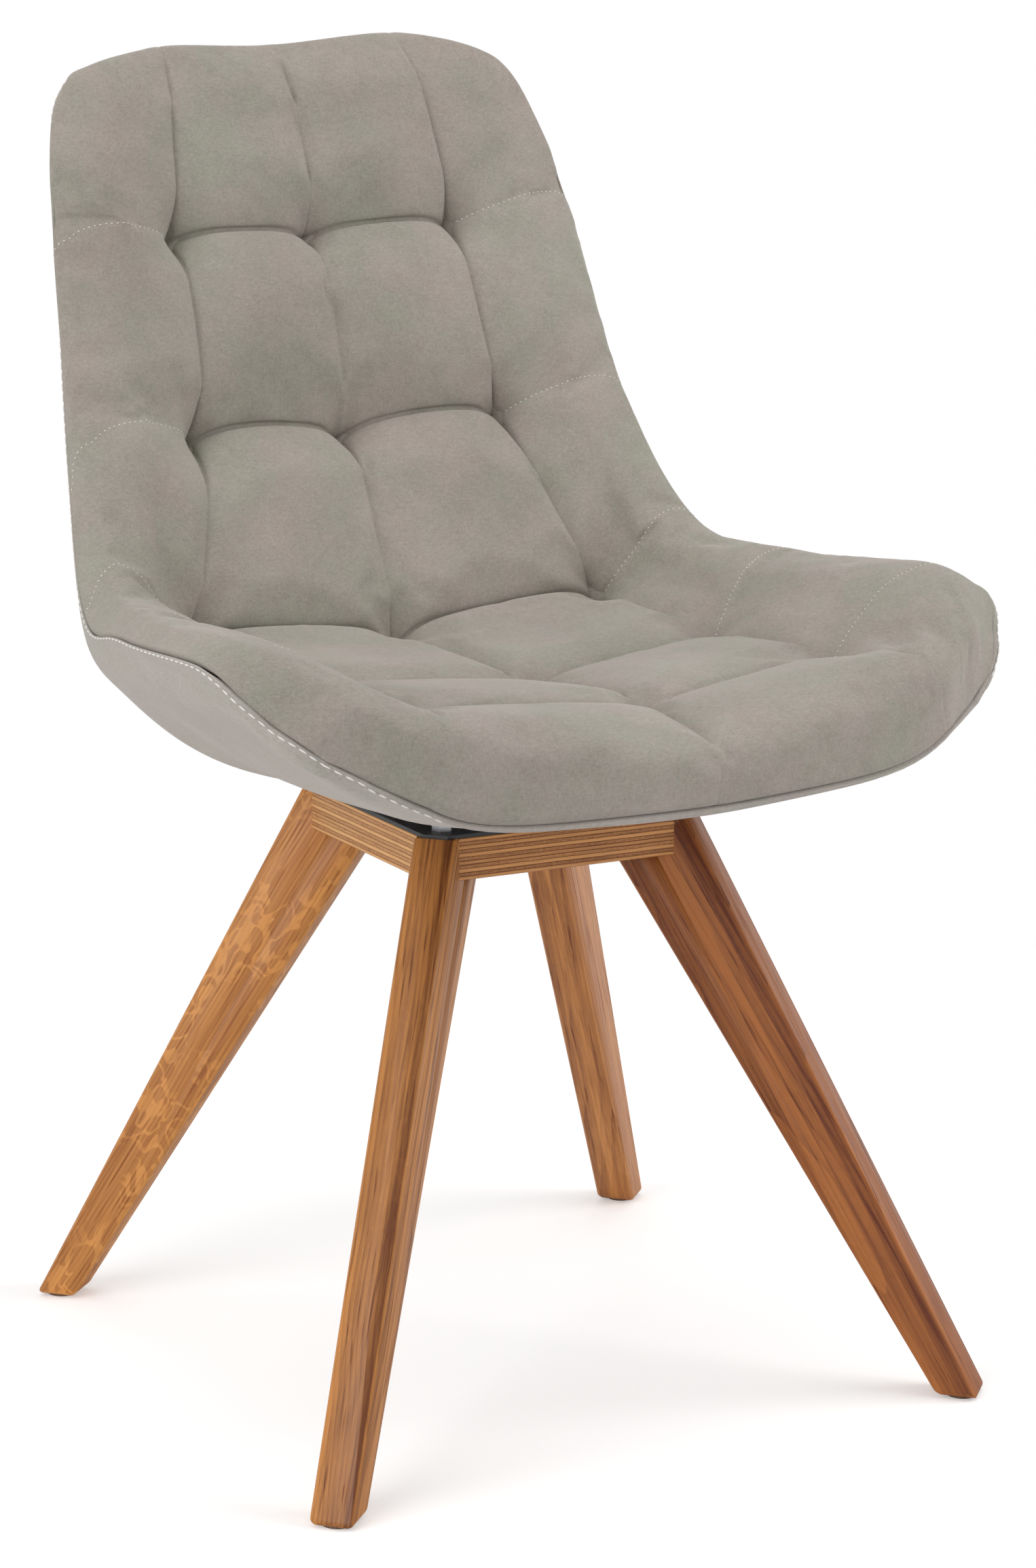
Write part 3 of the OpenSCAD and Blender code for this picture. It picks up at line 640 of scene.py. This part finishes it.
def filled(start, sewn):
    """The sheet after its simulation, as a grid like start, in the net's millimetres."""
    rows, columns = sewn.shape
    index = np.arange(rows * columns).reshape(rows, columns)
    faces = np.stack([index[:-1, :-1], index[:-1, 1:], index[1:, 1:], index[1:, :-1]], -1)
    sheet = mesh_object("wadding_sheet", start.reshape(-1, 3) * mm, faces.reshape(-1, 4).tolist())
    group = sheet.vertex_groups.new(name="sewn")
    for place, share in enumerate(sewn.ravel()):
        if share > 0:
            group.add([place], float(share), "REPLACE")
    cloth = sheet.modifiers.new("fill", "CLOTH")
    made = cloth.settings
    made.quality = 6
    made.mass = 0.2
    made.tension_stiffness = made.compression_stiffness = 12
    made.shear_stiffness = 6
    made.bending_stiffness = 0.6
    made.tension_damping = made.compression_damping = made.shear_damping = 20
    made.air_damping = 6
    made.vertex_group_mass = group.name
    made.pin_stiffness = 1.0
    made.use_pressure = True
    made.uniform_pressure_force = fill_pressure
    made.shrink_min = fill_surplus
    made.effector_weights.gravity = 0
    cloth.collision_settings.use_collision = False
    cloth.point_cache.frame_start = 1
    cloth.point_cache.frame_end = fill_steps
    for step in range(1, fill_steps + 1):
        scene.frame_set(step)
    done = sheet.evaluated_get(bpy.context.evaluated_depsgraph_get()).to_mesh()
    settled = np.empty(len(done.vertices) * 3)
    done.vertices.foreach_get("co", settled)
    scene.frame_set(1)
    bpy.data.objects.remove(sheet)
    moved = settled.reshape(rows, columns, 3) / mm - start
    length = np.linalg.norm(moved, axis=-1, keepdims=True)
    return start + moved * np.minimum(1, fill_cap / np.maximum(length, 1e-6))


def cell_of(at, lines):
    """The line before each place, and the share of the way from it to the next line."""
    place = np.interp(at, lines, np.arange(len(lines)))
    before = np.clip(place.astype(int), 0, len(lines) - 2)
    return before, place - before


def cubic_at(grid, columns, rows, across, along):
    """Points of a smooth surface through a grid of points, at places across and along."""
    def weights(t):
        return (-t + 2 * t ** 2 - t ** 3) / 2, (2 - 5 * t ** 2 + 3 * t ** 3) / 2, \
            (t + 4 * t ** 2 - 3 * t ** 3) / 2, (t ** 3 - t ** 2) / 2

    ci, c = cell_of(across, columns)
    ri, r = cell_of(along, rows)
    made = np.zeros((*across.shape, 3))
    for i, by_row in enumerate(weights(r)):
        for j, by_column in enumerate(weights(c)):
            from_row = np.clip(ri + i - 1, 0, len(rows) - 1)
            from_column = np.clip(ci + j - 1, 0, len(columns) - 1)
            made += (by_row * by_column)[..., None] * grid[from_row, from_column]
    return made


cover_columns = places([(-3, -2, 20), (-2, -1, 24, "end"), (-1, 0, 44, "both"),
                        (0, 1, 44, "both"), (1, 2, 24, "start"), (2, 3, 20)])
cover_rows = places([(0, 1, 14), (1, 2, 20, "end"), (2, 3, 34, "both"), (3, 4, 40, "both"),
                     (4, 5, 42, "both"), (5, 6, 40, "both"), (6, 7, 24, "start"), (7, 8, 14),
                     (8, 9, 10)])
# The covers' edges are turned in where they meet, over a width and by a depth
turn_in_reach = 4
turn_in_depth = 3
# The most of the way to the middle of the seat that the quilting may take
quilt_share = 0.85


def turned_in(edge):
    """How far in a cover lies, at a distance from the edge seam."""
    return turn_in_depth * (1 - np.sqrt(1 - (1 - np.clip(edge / turn_in_reach, 0, 1)) ** 2))


across, along = np.meshgrid(cover_columns, cover_rows)
face, edge = quilted(across, along)
sheet_across, sheet_along = np.meshgrid(sheet_columns, sheet_rows)
start = quilted(sheet_across, sheet_along)[0]
after = filled(start, sewn_share(sheet_across, sheet_along))
face += cubic_at(after - start, sheet_columns, sheet_rows, across, along)
net_points = front_at(across, along, False)
core = core_at(across, along)
inward = unit(core - net_points)
outer = face - grid_normals(face) * creases(across, along)[..., None] \
    + inward * turned_in(edge)[..., None]
drawn = np.maximum(0, ((net_points - outer) * grid_normals(net_points)).sum(-1))
inner = sunk(net_points, core, quilt_t + drawn, quilt_share)


def stretched(finish, where, amounts):
    """A place times an amount along each axis, so that a noise has its own scale on each."""
    return finish.node("ShaderNodeVectorMath", {"operation": "MULTIPLY"}, {
        0: where, 1: amounts})


def velvet_finish(name, light, dark, warm_light, warm_dark):
    """Short brushed pile: cloudy shade where it leans, fine nap and a soft sheen."""
    finish = Finish(name)
    where = finish.place()
    clouds = finish.noise(where, 9, 4, 0.6)
    hue = finish.noise(where, 15, 4, 0.65)
    mottle = finish.noise(where, 95, 4, 0.7)
    nap = finish.noise(where, 520, 5, 0.8)
    upright = finish.noise(stretched(finish, where, (1000, 1000, 240)), 1, 3, 0.6)
    level_threads = finish.noise(stretched(finish, where, (240, 240, 1000)), 1, 3, 0.6)
    pile = upright * 0.5 + level_threads * 0.5
    shade = (clouds - 0.5) * 0.8 + (mottle - 0.5) * 0.3 + (nap - 0.5) \
        + (pile - 0.5) * 1.1 + 0.5
    tint = finish.between(0.36, 0.64, hue)
    finish.set(Base_Color=finish.mix(tint, finish.mix(shade, dark, light),
                                     finish.mix(shade, warm_dark, warm_light)), Roughness=0.88,
               Specular_IOR_Level=0.2, Sheen_Weight=0.3, Sheen_Roughness=0.4,
               Sheen_Tint=(1, 0.94, 0.92, 1))
    finish.bump(pile + nap * 0.8, 0.28, 0.0012)
    return finish


velvet = velvet_finish("velvet_front", srgb(170, 167, 155), srgb(128, 125, 113),
                       srgb(178, 168, 160), srgb(136, 126, 118))
cover = soft_solid("quilted_cover_velvet", outer, inner, velvet)
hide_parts("quilted_cover")
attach(cover, "seat")


# Seat foam
# A moulded foam pad between the shell and the quilting, hidden by both.
foam_colour = srgb(236, 226, 190)
foam_dark = srgb(214, 200, 158)
foam_clear = 2.5
# Thicknesses of the rear cover and of the shell, and the gap between two layers
cover_t = 6
shell_t = 11
layer_gap = 0.4
# The most of the way to the middle of the seat that the foam may take from each face
foam_share = 0.92
# The pad stops short of the edge seam all round
foam_columns = np.linspace(-2.5, 2.5, 101)
foam_rows = np.linspace(0.5, 8.5, 161)
u, v = np.meshgrid(foam_columns, foam_rows)
foam_front, foam_rear, foam_core = front_at(u, v, False), rear_at(u, v, False), core_at(u, v)
foam_dip = np.maximum(0, ((foam_front - quilted(u, v)[0]) * grid_normals(foam_front)).sum(-1))
foam_upper = sunk(foam_front, foam_core, quilt_t + foam_clear + foam_dip, foam_share)
foam_lower = sunk(foam_rear, foam_core, cover_t + shell_t + 2 * layer_gap, foam_share)
foam = Finish("cut_foam")
cells = foam.noise(foam.place(), 900, 2, 0.6)
foam.set(Base_Color=foam.mix(cells, foam_dark, foam_colour), Roughness=0.95)
foam.bump(cells, 0.4, 0.001)
pad = soft_solid("seat_foam_pad", foam_upper, foam_lower, foam)
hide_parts("seat_foam")
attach(pad, "seat")


# Rear cover
# The same cloth, drawn smooth over the shell's rear and underside, sewn to the
# quilting all round and turned in beside it.
# Its tones are painted lighter than the front cover's: painted light on the rear and underside of
# one cloth.
rear_velvet_painted_lighter = velvet_finish("velvet_rear", srgb(186, 182, 173), srgb(146, 142, 132),
                            srgb(191, 182, 176), srgb(149, 140, 134))
# It stops this part of a line or row short of the edge seam
seam_gap = 0.02
# It swells out beside that seam along the seat
rear_swell = 2.5
swell_reach = 4
swell_along = [(0, 1), (2.4, 1), (3.4, 0), (9, 0)]
# Past that edge the seat's rear cloth falls in before it swells out again
rear_fall = 3
fall_place = 19
fall_reach = 9
fall_along = [(0, 0), (0.9, 0), (1.5, 1), (2.4, 1), (3.4, 0), (9, 0)]
# The most of the way to the middle of the seat that this cover may take
rear_share = 0.34
rear_columns = places([(-3 + seam_gap, -2, 26, "start"), (-2, 2, 64),
                       (2, 3 - seam_gap, 26, "end")])
rear_rows = places([(seam_gap, 1, 14, "start"), (1, 8, 110), (8, 9 - seam_gap, 10, "end")])
u, v = np.meshgrid(rear_columns, rear_rows)
rear_points = rear_at(u, v)
rear_core = core_at(u, v)
step_u, step_v = steps_of(rear_points, u, v)
rear_edge = rim_distance(u, v, step_u, step_v)
swell = rear_swell * rear_edge / swell_reach * np.exp(1 - rear_edge / swell_reach) \
    * level_between(swell_along, v)
swell -= rear_fall * np.exp(-((rear_edge - fall_place) / fall_reach) ** 2) \
    * level_between(fall_along, v)
rear_outer = rear_points + unit(rear_core - rear_points) * turned_in(rear_edge)[..., None] \
    - grid_normals(rear_points) * swell[..., None]
rear_inner = sunk(rear_at(u, v, False), rear_core, cover_t, rear_share)
rear_piece = soft_solid("rear_cover_velvet", rear_inner, rear_outer, rear_velvet_painted_lighter)
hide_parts("rear_cover")
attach(rear_piece, "seat")


# Stitches
# Pale thread: long top-stitches beside the edge seam, and short ones along the
# quilting's outer cross seams.
thread = Finish("pale_thread")
twist = thread.noise(thread.place(), 3000, 2, 0.5)
thread.set(Base_Color=thread.mix(twist, srgb(214, 209, 203), srgb(242, 239, 235)), Roughness=0.6)
thread.bump(twist, 0.3, 0.0003)
bead_sides = 6
bead_rings = 5
# The pitch, length and radius of each kind, and its middle's height off the cloth in mm
topstitch_size = (7.4 * mm, 5.6 * mm, 0.55 * mm)
topstitch_lift = 0.25
seam_stitch_size = (4.2 * mm, 1.5 * mm, 0.4 * mm)
seam_stitch_lift = 0.1
# Millimetres from the edge seam to the topstitch
topstitch_place = 3.2
# Where each row of them starts and ends, and its number of points: along both sides,
# round the front left corner as far as it shows, and out along the cross seams. On the
# left of the seat the thread lies sunk in its crease past the crest.
side_stitches = (0.12, 8.85, 240)
corner_stitches = (-2.86, -0.95, 90)
outer_stitches = (1.06, 2.86, 80)
sunk_stitches = (1.06, 1.8, 80)
# The crease between the seat and the back
crease_row = 4
# The line and the row whose steps stand for those beside the edge
side_line = 2.9
front_row = 0.1


def stitch_tree():
    """Node tree that lays stitches along a curve at an even pitch."""
    tree = bpy.data.node_groups.new("stitch_row", "GeometryNodeTree")
    for name, way, kind in (
            ("Line", "INPUT", "Geometry"), ("Pitch", "INPUT", "Float"),
            ("Length", "INPUT", "Float"), ("Radius", "INPUT", "Float"),
            ("Thread", "INPUT", "Material"), ("Stitches", "OUTPUT", "Geometry")):
        tree.interface.new_socket(name, in_out=way, socket_type="NodeSocket" + kind)
    new, link = tree.nodes.new, tree.links.new
    given, made = new("NodeGroupInput"), new("NodeGroupOutput")
    even = new("GeometryNodeResampleCurve")
    even.mode = "LENGTH"
    link(given.outputs["Line"], even.inputs["Curve"])
    link(given.outputs["Pitch"], even.inputs["Length"])
    aim = new("FunctionNodeAlignRotationToVector")
    aim.axis = "Z"
    link(new("GeometryNodeInputTangent").outputs[0], aim.inputs["Vector"])
    bead = new("GeometryNodeMeshUVSphere")
    bead.inputs["Segments"].default_value = bead_sides
    bead.inputs["Rings"].default_value = bead_rings
    bead.inputs["Radius"].default_value = 1
    size = new("ShaderNodeCombineXYZ")
    link(given.outputs["Radius"], size.inputs[0])
    link(given.outputs["Radius"], size.inputs[1])
    halved = new("ShaderNodeMath")
    halved.operation = "MULTIPLY"
    halved.inputs[1].default_value = 0.5
    link(given.outputs["Length"], halved.inputs[0])
    link(halved.outputs[0], size.inputs[2])
    laid = new("GeometryNodeInstanceOnPoints")
    link(even.outputs[0], laid.inputs["Points"])
    link(bead.outputs["Mesh"], laid.inputs["Instance"])
    link(aim.outputs[0], laid.inputs["Rotation"])
    link(size.outputs[0], laid.inputs["Scale"])
    real = new("GeometryNodeRealizeInstances")
    link(laid.outputs[0], real.inputs[0])
    dressed = new("GeometryNodeSetMaterial")
    link(real.outputs[0], dressed.inputs["Geometry"])
    link(given.outputs["Thread"], dressed.inputs["Material"])
    link(dressed.outputs[0], made.inputs[0])
    return tree


stitch_rows = stitch_tree()


def set_input(modifier, name, value):
    """Sets a modifier's input by the identifier of its socket."""
    for item in modifier.node_group.interface.items_tree:
        if item.in_out == "INPUT" and item.name == name:
            modifier[item.identifier] = value


def sew(name, lines, size):
    """Stitches along lines of points, as one plain mesh on the seat."""
    curve = bpy.data.curves.new(name + "_path", "CURVE")
    curve.dimensions = "3D"
    for line in lines:
        spline = curve.splines.new("POLY")
        spline.points.add(len(line) - 1)
        for point, place in zip(spline.points, line):
            point.co = (*place, 1)
    path = bpy.data.objects.new(name + "_path", curve)
    scene.collection.objects.link(path)
    rows = path.modifiers.new("stitches", "NODES")
    rows.node_group = stitch_rows
    for key, value in zip(("Pitch", "Length", "Radius", "Thread"), (*size, thread.material)):
        set_input(rows, key, value)
    depsgraph = bpy.context.evaluated_depsgraph_get()
    mesh = bpy.data.meshes.new_from_object(path.evaluated_get(depsgraph))
    mesh.name = name
    bpy.data.objects.remove(path)
    made = placed(name, mesh)
    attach(made, "seat")


def on_grid(grid, columns, rows, u_line, v_line):
    """Points of a grid at fractional places, by linear steps between its points."""
    ci, c = cell_of(u_line, columns)
    ri, r = cell_of(v_line, rows)
    a, b = c[:, None], r[:, None]
    return (grid[ri, ci] * (1 - a) * (1 - b) + grid[ri, ci + 1] * a * (1 - b)
            + grid[ri + 1, ci] * (1 - a) * b + grid[ri + 1, ci + 1] * a * b)


def laid_on(surface, u_line, v_line, lift):
    """Points of a line at a height over a cover, in metres."""
    grid, columns, rows = surface
    spot = on_grid(grid, columns, rows, u_line, v_line)
    off = on_grid(grid_normals(grid), columns, rows, u_line, v_line)
    return (spot + lift * off) * mm + net_origin


def inset(from_other):
    """Millimetres in from one edge, at a distance from the other, round a corner."""
    return (topstitch_place ** -corner_power - from_other ** -corner_power) ** (-1 / corner_power)


rear_face = (rear_outer, rear_columns, rear_rows)
rear_steps = np.stack([step_u, step_v], -1)
topstitch_lines = []
for side in (-1, 1):
    v_line = np.linspace(*side_stitches)
    step = on_grid(rear_steps, rear_columns, rear_rows, np.full_like(v_line, side_line * side),
                   v_line)
    u_line = side * (rim - inset(v_line * step[:, 1]) / step[:, 0])
    topstitch_lines.append(laid_on(rear_face, u_line, v_line, -topstitch_lift))
u_line = np.linspace(*corner_stitches)
step = on_grid(rear_steps, rear_columns, rear_rows, u_line, np.full_like(u_line, front_row))
v_line = inset((rim - np.abs(u_line)) * step[:, 0]) / step[:, 1]
topstitch_lines.append(laid_on(rear_face, u_line, v_line, -topstitch_lift))
sew("edge_topstitch", topstitch_lines, topstitch_size)

seam_lines = []
for row, *rest in cross_seams:
    for side in (-1, 1):
        stretch = sunk_stitches if side < 0 and row < crease_row else outer_stitches
        u_line = side * np.linspace(*stretch)
        v_line = -past(row, u_line, np.zeros_like(u_line))
        seam_lines.append(laid_on((outer, cover_columns, cover_rows), u_line, v_line,
                                  seam_stitch_lift))
sew("quilting_stitches", seam_lines, seam_stitch_size)


# Shell, plates and fasteners
# Moulded ply shell with its tee nuts, pressed black plates, an oiled ball race and
# zinc-plated screws, nuts and bolts.
def dress(node, finish):
    materials = frame["nodes"][node].data.materials
    materials.clear()
    materials.append(finish.material)


shell_ply = Finish("shell_ply")
figure = shell_ply.noise(shell_ply.place(), 60, 4, 0.6, 2)
shell_ply.set(Base_Color=shell_ply.mix(figure, srgb(196, 160, 118), srgb(226, 198, 158)),
              Roughness=0.6)
shell_ply.bump(figure, 0.2, 0.0005)
dress("seat_shell", shell_ply)


def metal(name, light, dark, roughness, grain, metallic=1.0):
    finish = Finish(name)
    marks = finish.noise(finish.place(), grain, 3, 0.6)
    finish.set(Base_Color=finish.mix(marks, dark, light), Metallic=metallic,
               Roughness=marks * 0.2 + roughness)
    finish.bump(marks, 0.15, 0.0002)
    return finish


zinc = metal("zinc_plate", srgb(216, 218, 222), srgb(176, 178, 182), 0.22, 700)
race_steel = metal("oiled_race", srgb(150, 150, 152), srgb(110, 110, 112), 0.25, 400)
ball_steel = metal("polished_balls", srgb(225, 226, 228), srgb(200, 201, 203), 0.05, 200)
brass = metal("insert_brass", srgb(226, 196, 130), srgb(190, 158, 92), 0.25, 600)
powder = metal("black_powder_coat", srgb(38, 38, 40), srgb(22, 22, 24), 0.4, 2600, 0.0)
nylon = metal("natural_nylon", srgb(232, 229, 218), srgb(216, 212, 198), 0.42, 500, 0.0)
glide = metal("brown_nylon", srgb(122, 100, 80), srgb(98, 78, 62), 0.45, 500, 0.0)
beech = metal("dowel_beech", srgb(226, 200, 164), srgb(200, 170, 130), 0.55, 300, 0.0)
for nodes, finish in (
        (("tee_nuts", "seat_bolts", "bolt_washers", "pivot_stud", "pivot_washer", "pivot_nut",
          "leg_bolts", "rail_screws"), zinc),
        (("upper_race", "lower_race"), race_steel), (("bearing_balls",), ball_steel),
        (("leg_inserts",), brass), (("seat_plate", "base_plate"), powder),
        (("ball_cage", "pivot_bush"), nylon), (("foot_glides",), glide),
        (("rail_dowels",), beech)):
    for node in nodes:
        dress(node, finish)


# Rails
# Four lengths of laminated plywood, their plies lying flat so that the edges show
# as lines along the rail, oiled.
base_turn = math.radians(-6)
rail_low, rail_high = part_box("front_rail")
ply_count = 11
ply_t = (rail_high.z - rail_low.z) / ply_count


def axes(finish, where):
    """The three coordinates of a place, as fields."""
    parts = finish.node("ShaderNodeSeparateXYZ", None, {0: where}).socket.node
    return [Field(finish.tree, socket) for socket in parts.outputs]


def plywood(name, angle, light, dark):
    """Edges of the plies: end grain darker than long grain, with glue lines between."""
    finish = Finish(name)
    run = finish.place(rotation=(0, 0, -angle))
    height = axes(finish, run)[2]
    wave = finish.noise(stretched(finish, run, (9, 1, 1)), 2, 2)
    layer = (height - rail_low.z) / ply_t + (wave - 0.5) * 0.4
    index = layer.math("FLOOR", layer, 0)
    tone = finish.node("ShaderNodeTexWhiteNoise", {"noise_dimensions": "1D"}, {"W": index})
    crossed = (index * 0.5).fraction() * 2
    streaks = finish.noise(stretched(finish, run, (26, 260, 1100)), 1, 4, 0.7)
    ends = finish.noise(stretched(finish, run, (420, 300, 900)), 1, 2, 0.6)
    glue = finish.between(0.3, 0.47, abs(layer.fraction() - 0.5))
    shade = tone * 0.3 + (1 - crossed) * 0.34 + (streaks - 0.5) * 1.1 \
        + (ends - 0.5) * crossed * 0.8 - glue * 0.55 + 0.3
    finish.set(Base_Color=finish.mix(shade, dark, light), Roughness=0.5,
               Specular_IOR_Level=0.35)
    finish.bump(streaks + ends * crossed * 0.6 - glue * 0.8, 0.4, 0.0008)
    return finish


# One plywood in every rail: its tones are painted paler on the left rail and a little paler on the
# right one than on the front and rear, as painted light from the side lamps.
for node, angle, light, dark in (
        ("front_rail", 0, srgb(222, 159, 98), srgb(104, 50, 16)),
        ("rear_rail", 180, srgb(222, 159, 98), srgb(104, 50, 16)),
        ("left_rail", 270, srgb(228, 174, 116), srgb(138, 84, 42)),
        ("right_rail", 90, srgb(218, 162, 108), srgb(118, 66, 30))):
    dress(node, plywood(node + "_ply", base_turn + math.radians(angle), light, dark))


# Legs
# Solid oak, sawn to a taper and raked outwards, with the grain along the leg, its
# arrises broken and the whole oiled.
leg_low, leg_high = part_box("leg_front_left")
sole = leg_low.z
# The rake as the foot's way outwards over its way down
leg_rake = math.atan2(226.5, 386.5)
leg_taper = math.tan(math.radians(2.15))
leg_half = 14.25 * mm
arris = 1.5 * mm
# A leg's middle line at the frame's top, from the swivel axis, and its outer face from it
leg_middle = 0.1
leg_outer = 29.3 * mm
foot_round = 4.5 * mm
foot_cuts = 6
# Faces that meet at a sharper angle than this keep a sharp edge
sharp_angle = math.radians(30)
# Year rings to the metre
ring_rate = 330


def oak(name, outward, light, dark, pith, flecks, bands):
    """Oak whose grain follows one leg.

    pith is the heart's place across and through, in metres, and its slant; flecks is the
    strength of the ray figure; bands are darker or paler stretches, each (axis, from, to,
    strength), where axis 0 runs across the leg and 1 inwards from its outer face; one of them
    paints a side face paler as painted light.
    """
    finish = Finish(name)
    run = (outward * math.sin(leg_rake) - Vector((0, 0, math.cos(leg_rake)))).normalized()
    side = Vector((0, 0, 1)).cross(outward)
    turned = Matrix((run, side, run.cross(side)))
    centre = Vector((0, swivel_y, leg_high.z)) + outward * leg_middle
    here = finish.place(rotation=turned.to_euler(), location=-(turned @ centre))
    along_leg, across_leg, through = axes(finish, here)

    def grain(amounts, detail=3, roughness=0.5, distortion=0.0):
        """A noise with so many waves to the metre along, across and through the leg."""
        return finish.noise(stretched(finish, here, amounts), 1, detail, roughness, distortion)

    drift = (grain((5, 14, 14), 2) - 0.5) * 0.012
    beside_heart = across_leg - pith[0] + drift
    before_heart = through - pith[1] - along_leg * pith[2] + drift
    from_heart = (beside_heart * beside_heart + before_heart * before_heart) ** 0.5
    year = (from_heart * ring_rate).fraction()
    early = (1 - year) ** 2.5
    fibres = grain((9, 520, 520), 4, 0.6)
    streaks = grain((3.5, 130, 130), 3, 0.6)
    broad = grain((2.4, 30, 30), 2)
    pores = finish.between(0.56, 0.66, grain((15, 430, 430), 2)) * (early * 0.6 + 0.4)
    curl = 1 - abs(grain((52, 85, 85), 1, 0.5, 0.8) - 0.5) * 2
    rays = finish.between(0.84, 0.95, curl) * finish.between(0.42, 0.54, grain((12, 26, 26), 1))
    # Paler over the chamfered arrises: a painted highlight where the arrises catch the light.
    arris_highlight = finish.between(leg_half - arris, leg_half - arris * 0.8, abs(across_leg)) \
        - finish.between(leg_half - arris * 0.2, leg_half - arris * 0.1, abs(across_leg))
    shade = 0.61 - early * 0.3 + (fibres - 0.5) * 1.1 + (streaks - 0.5) * 0.9 \
        + (broad - 0.5) * 0.6 - pores * 0.42 + rays * flecks + arris_highlight * 0.22
    inwards = leg_outer - along_leg * leg_taper - through
    for axis, start, end, strength in bands:
        place = (across_leg, inwards)[axis] + (streaks - 0.5) * 0.006
        shade = shade + (finish.between(start, start + 0.002, place)
                         - finish.between(end - 0.002, end, place)) * strength
    finish.set(Base_Color=finish.mix(shade, dark, light), Specular_IOR_Level=0.4,
               Roughness=pores * 0.2 + 0.42)
    finish.bump(fibres * 0.5 - pores - early * 0.4, 0.3, 0.0005)
    return finish


def round_foot(points, outward):
    """Draws in the lowest stretch of a leg, cut into slices, to a rounded edge."""
    axis_place = Vector((0, swivel_y))
    levels = {}
    for point in points:
        if point.co.z < sole + foot_round + 1e-6:
            levels.setdefault(round(point.co.z, 6), []).append(point)
    for level, ring in levels.items():
        reach = [(point.co.xy - axis_place).dot(outward.xy) for point in ring]
        middle = axis_place + outward.xy * (min(reach) + max(reach)) / 2
        drop = foot_round - (level - sole)
        drawn_in = foot_round - math.sqrt(max(foot_round ** 2 - drop ** 2, 0))
        for point in ring:
            point.co.xy -= (point.co.xy - middle) * drawn_in / leg_half


def rounded_leg(node, outward):
    """A mesh of one of the solids' legs with the edge at its foot rounded."""
    solid = bmesh.new()
    solid.from_mesh(frame["nodes"][node].data)
    bmesh.ops.remove_doubles(solid, verts=solid.verts, dist=1e-6)
    for cut in range(1, foot_cuts + 1):
        level = sole + foot_round * (cut / foot_cuts) ** 2
        bmesh.ops.bisect_plane(solid, geom=solid.verts[:] + solid.edges[:] + solid.faces[:],
                               plane_co=(0, 0, level), plane_no=(0, 0, 1))
    round_foot(solid.verts, outward)
    mesh = bpy.data.meshes.new(node + "_oak")
    solid.to_mesh(mesh)
    solid.free()
    mesh.materials.clear()
    return mesh


# Each leg's pair of oak tones is partly the wood's own and partly painted light: leg_rear_left, lit
# by the left lamp, is painted paler.
for node, angle, light, dark, pith, flecks, bands in (
        ("leg_rear_left", 129, srgb(209, 143, 74), srgb(138, 76, 24),
         (0.004, -0.09, 0.03), 0.45, ()),
        # leg_front_left's paler stretch from 13.2 to 20 mm across covers its right arris and right
        # side face: painted light where the right lamp falls.
        ("leg_front_left", 219, srgb(194, 129, 65), srgb(103, 52, 14),
         (-0.07, -0.02, 0.02), 0.05, ((0, 0.0065, 0.0128, -0.32), (0, 0.0132, 0.02, 0.3),
                                      (0, -0.016, -0.008, 0.26))),
        ("leg_front_right", 309, srgb(176, 106, 50), srgb(94, 39, 8),
         (0.05, -0.03, 0.05), 0.05, ((1, 0.001, 0.011, -0.34), (1, 0.018, 0.032, 0.32))),
        ("leg_rear_right", 39, srgb(204, 137, 72), srgb(120, 61, 22),
         (0.03, 0.06, 0.05), 0.05, ((0, -0.004, 0.003, 0.3), (0, 0.007, 0.013, -0.2)))):
    outward = Vector((math.cos(math.radians(angle)), math.sin(math.radians(angle)), 0))
    grain = oak(node + "_grain", outward, light, dark, pith, flecks, bands)
    leg = placed(node + "_oak", rounded_leg(node, outward))
    leg.data.set_sharp_from_angle(angle=sharp_angle)
    leg.data.materials.append(grain.material)
    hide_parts(node)
    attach(leg, "base")
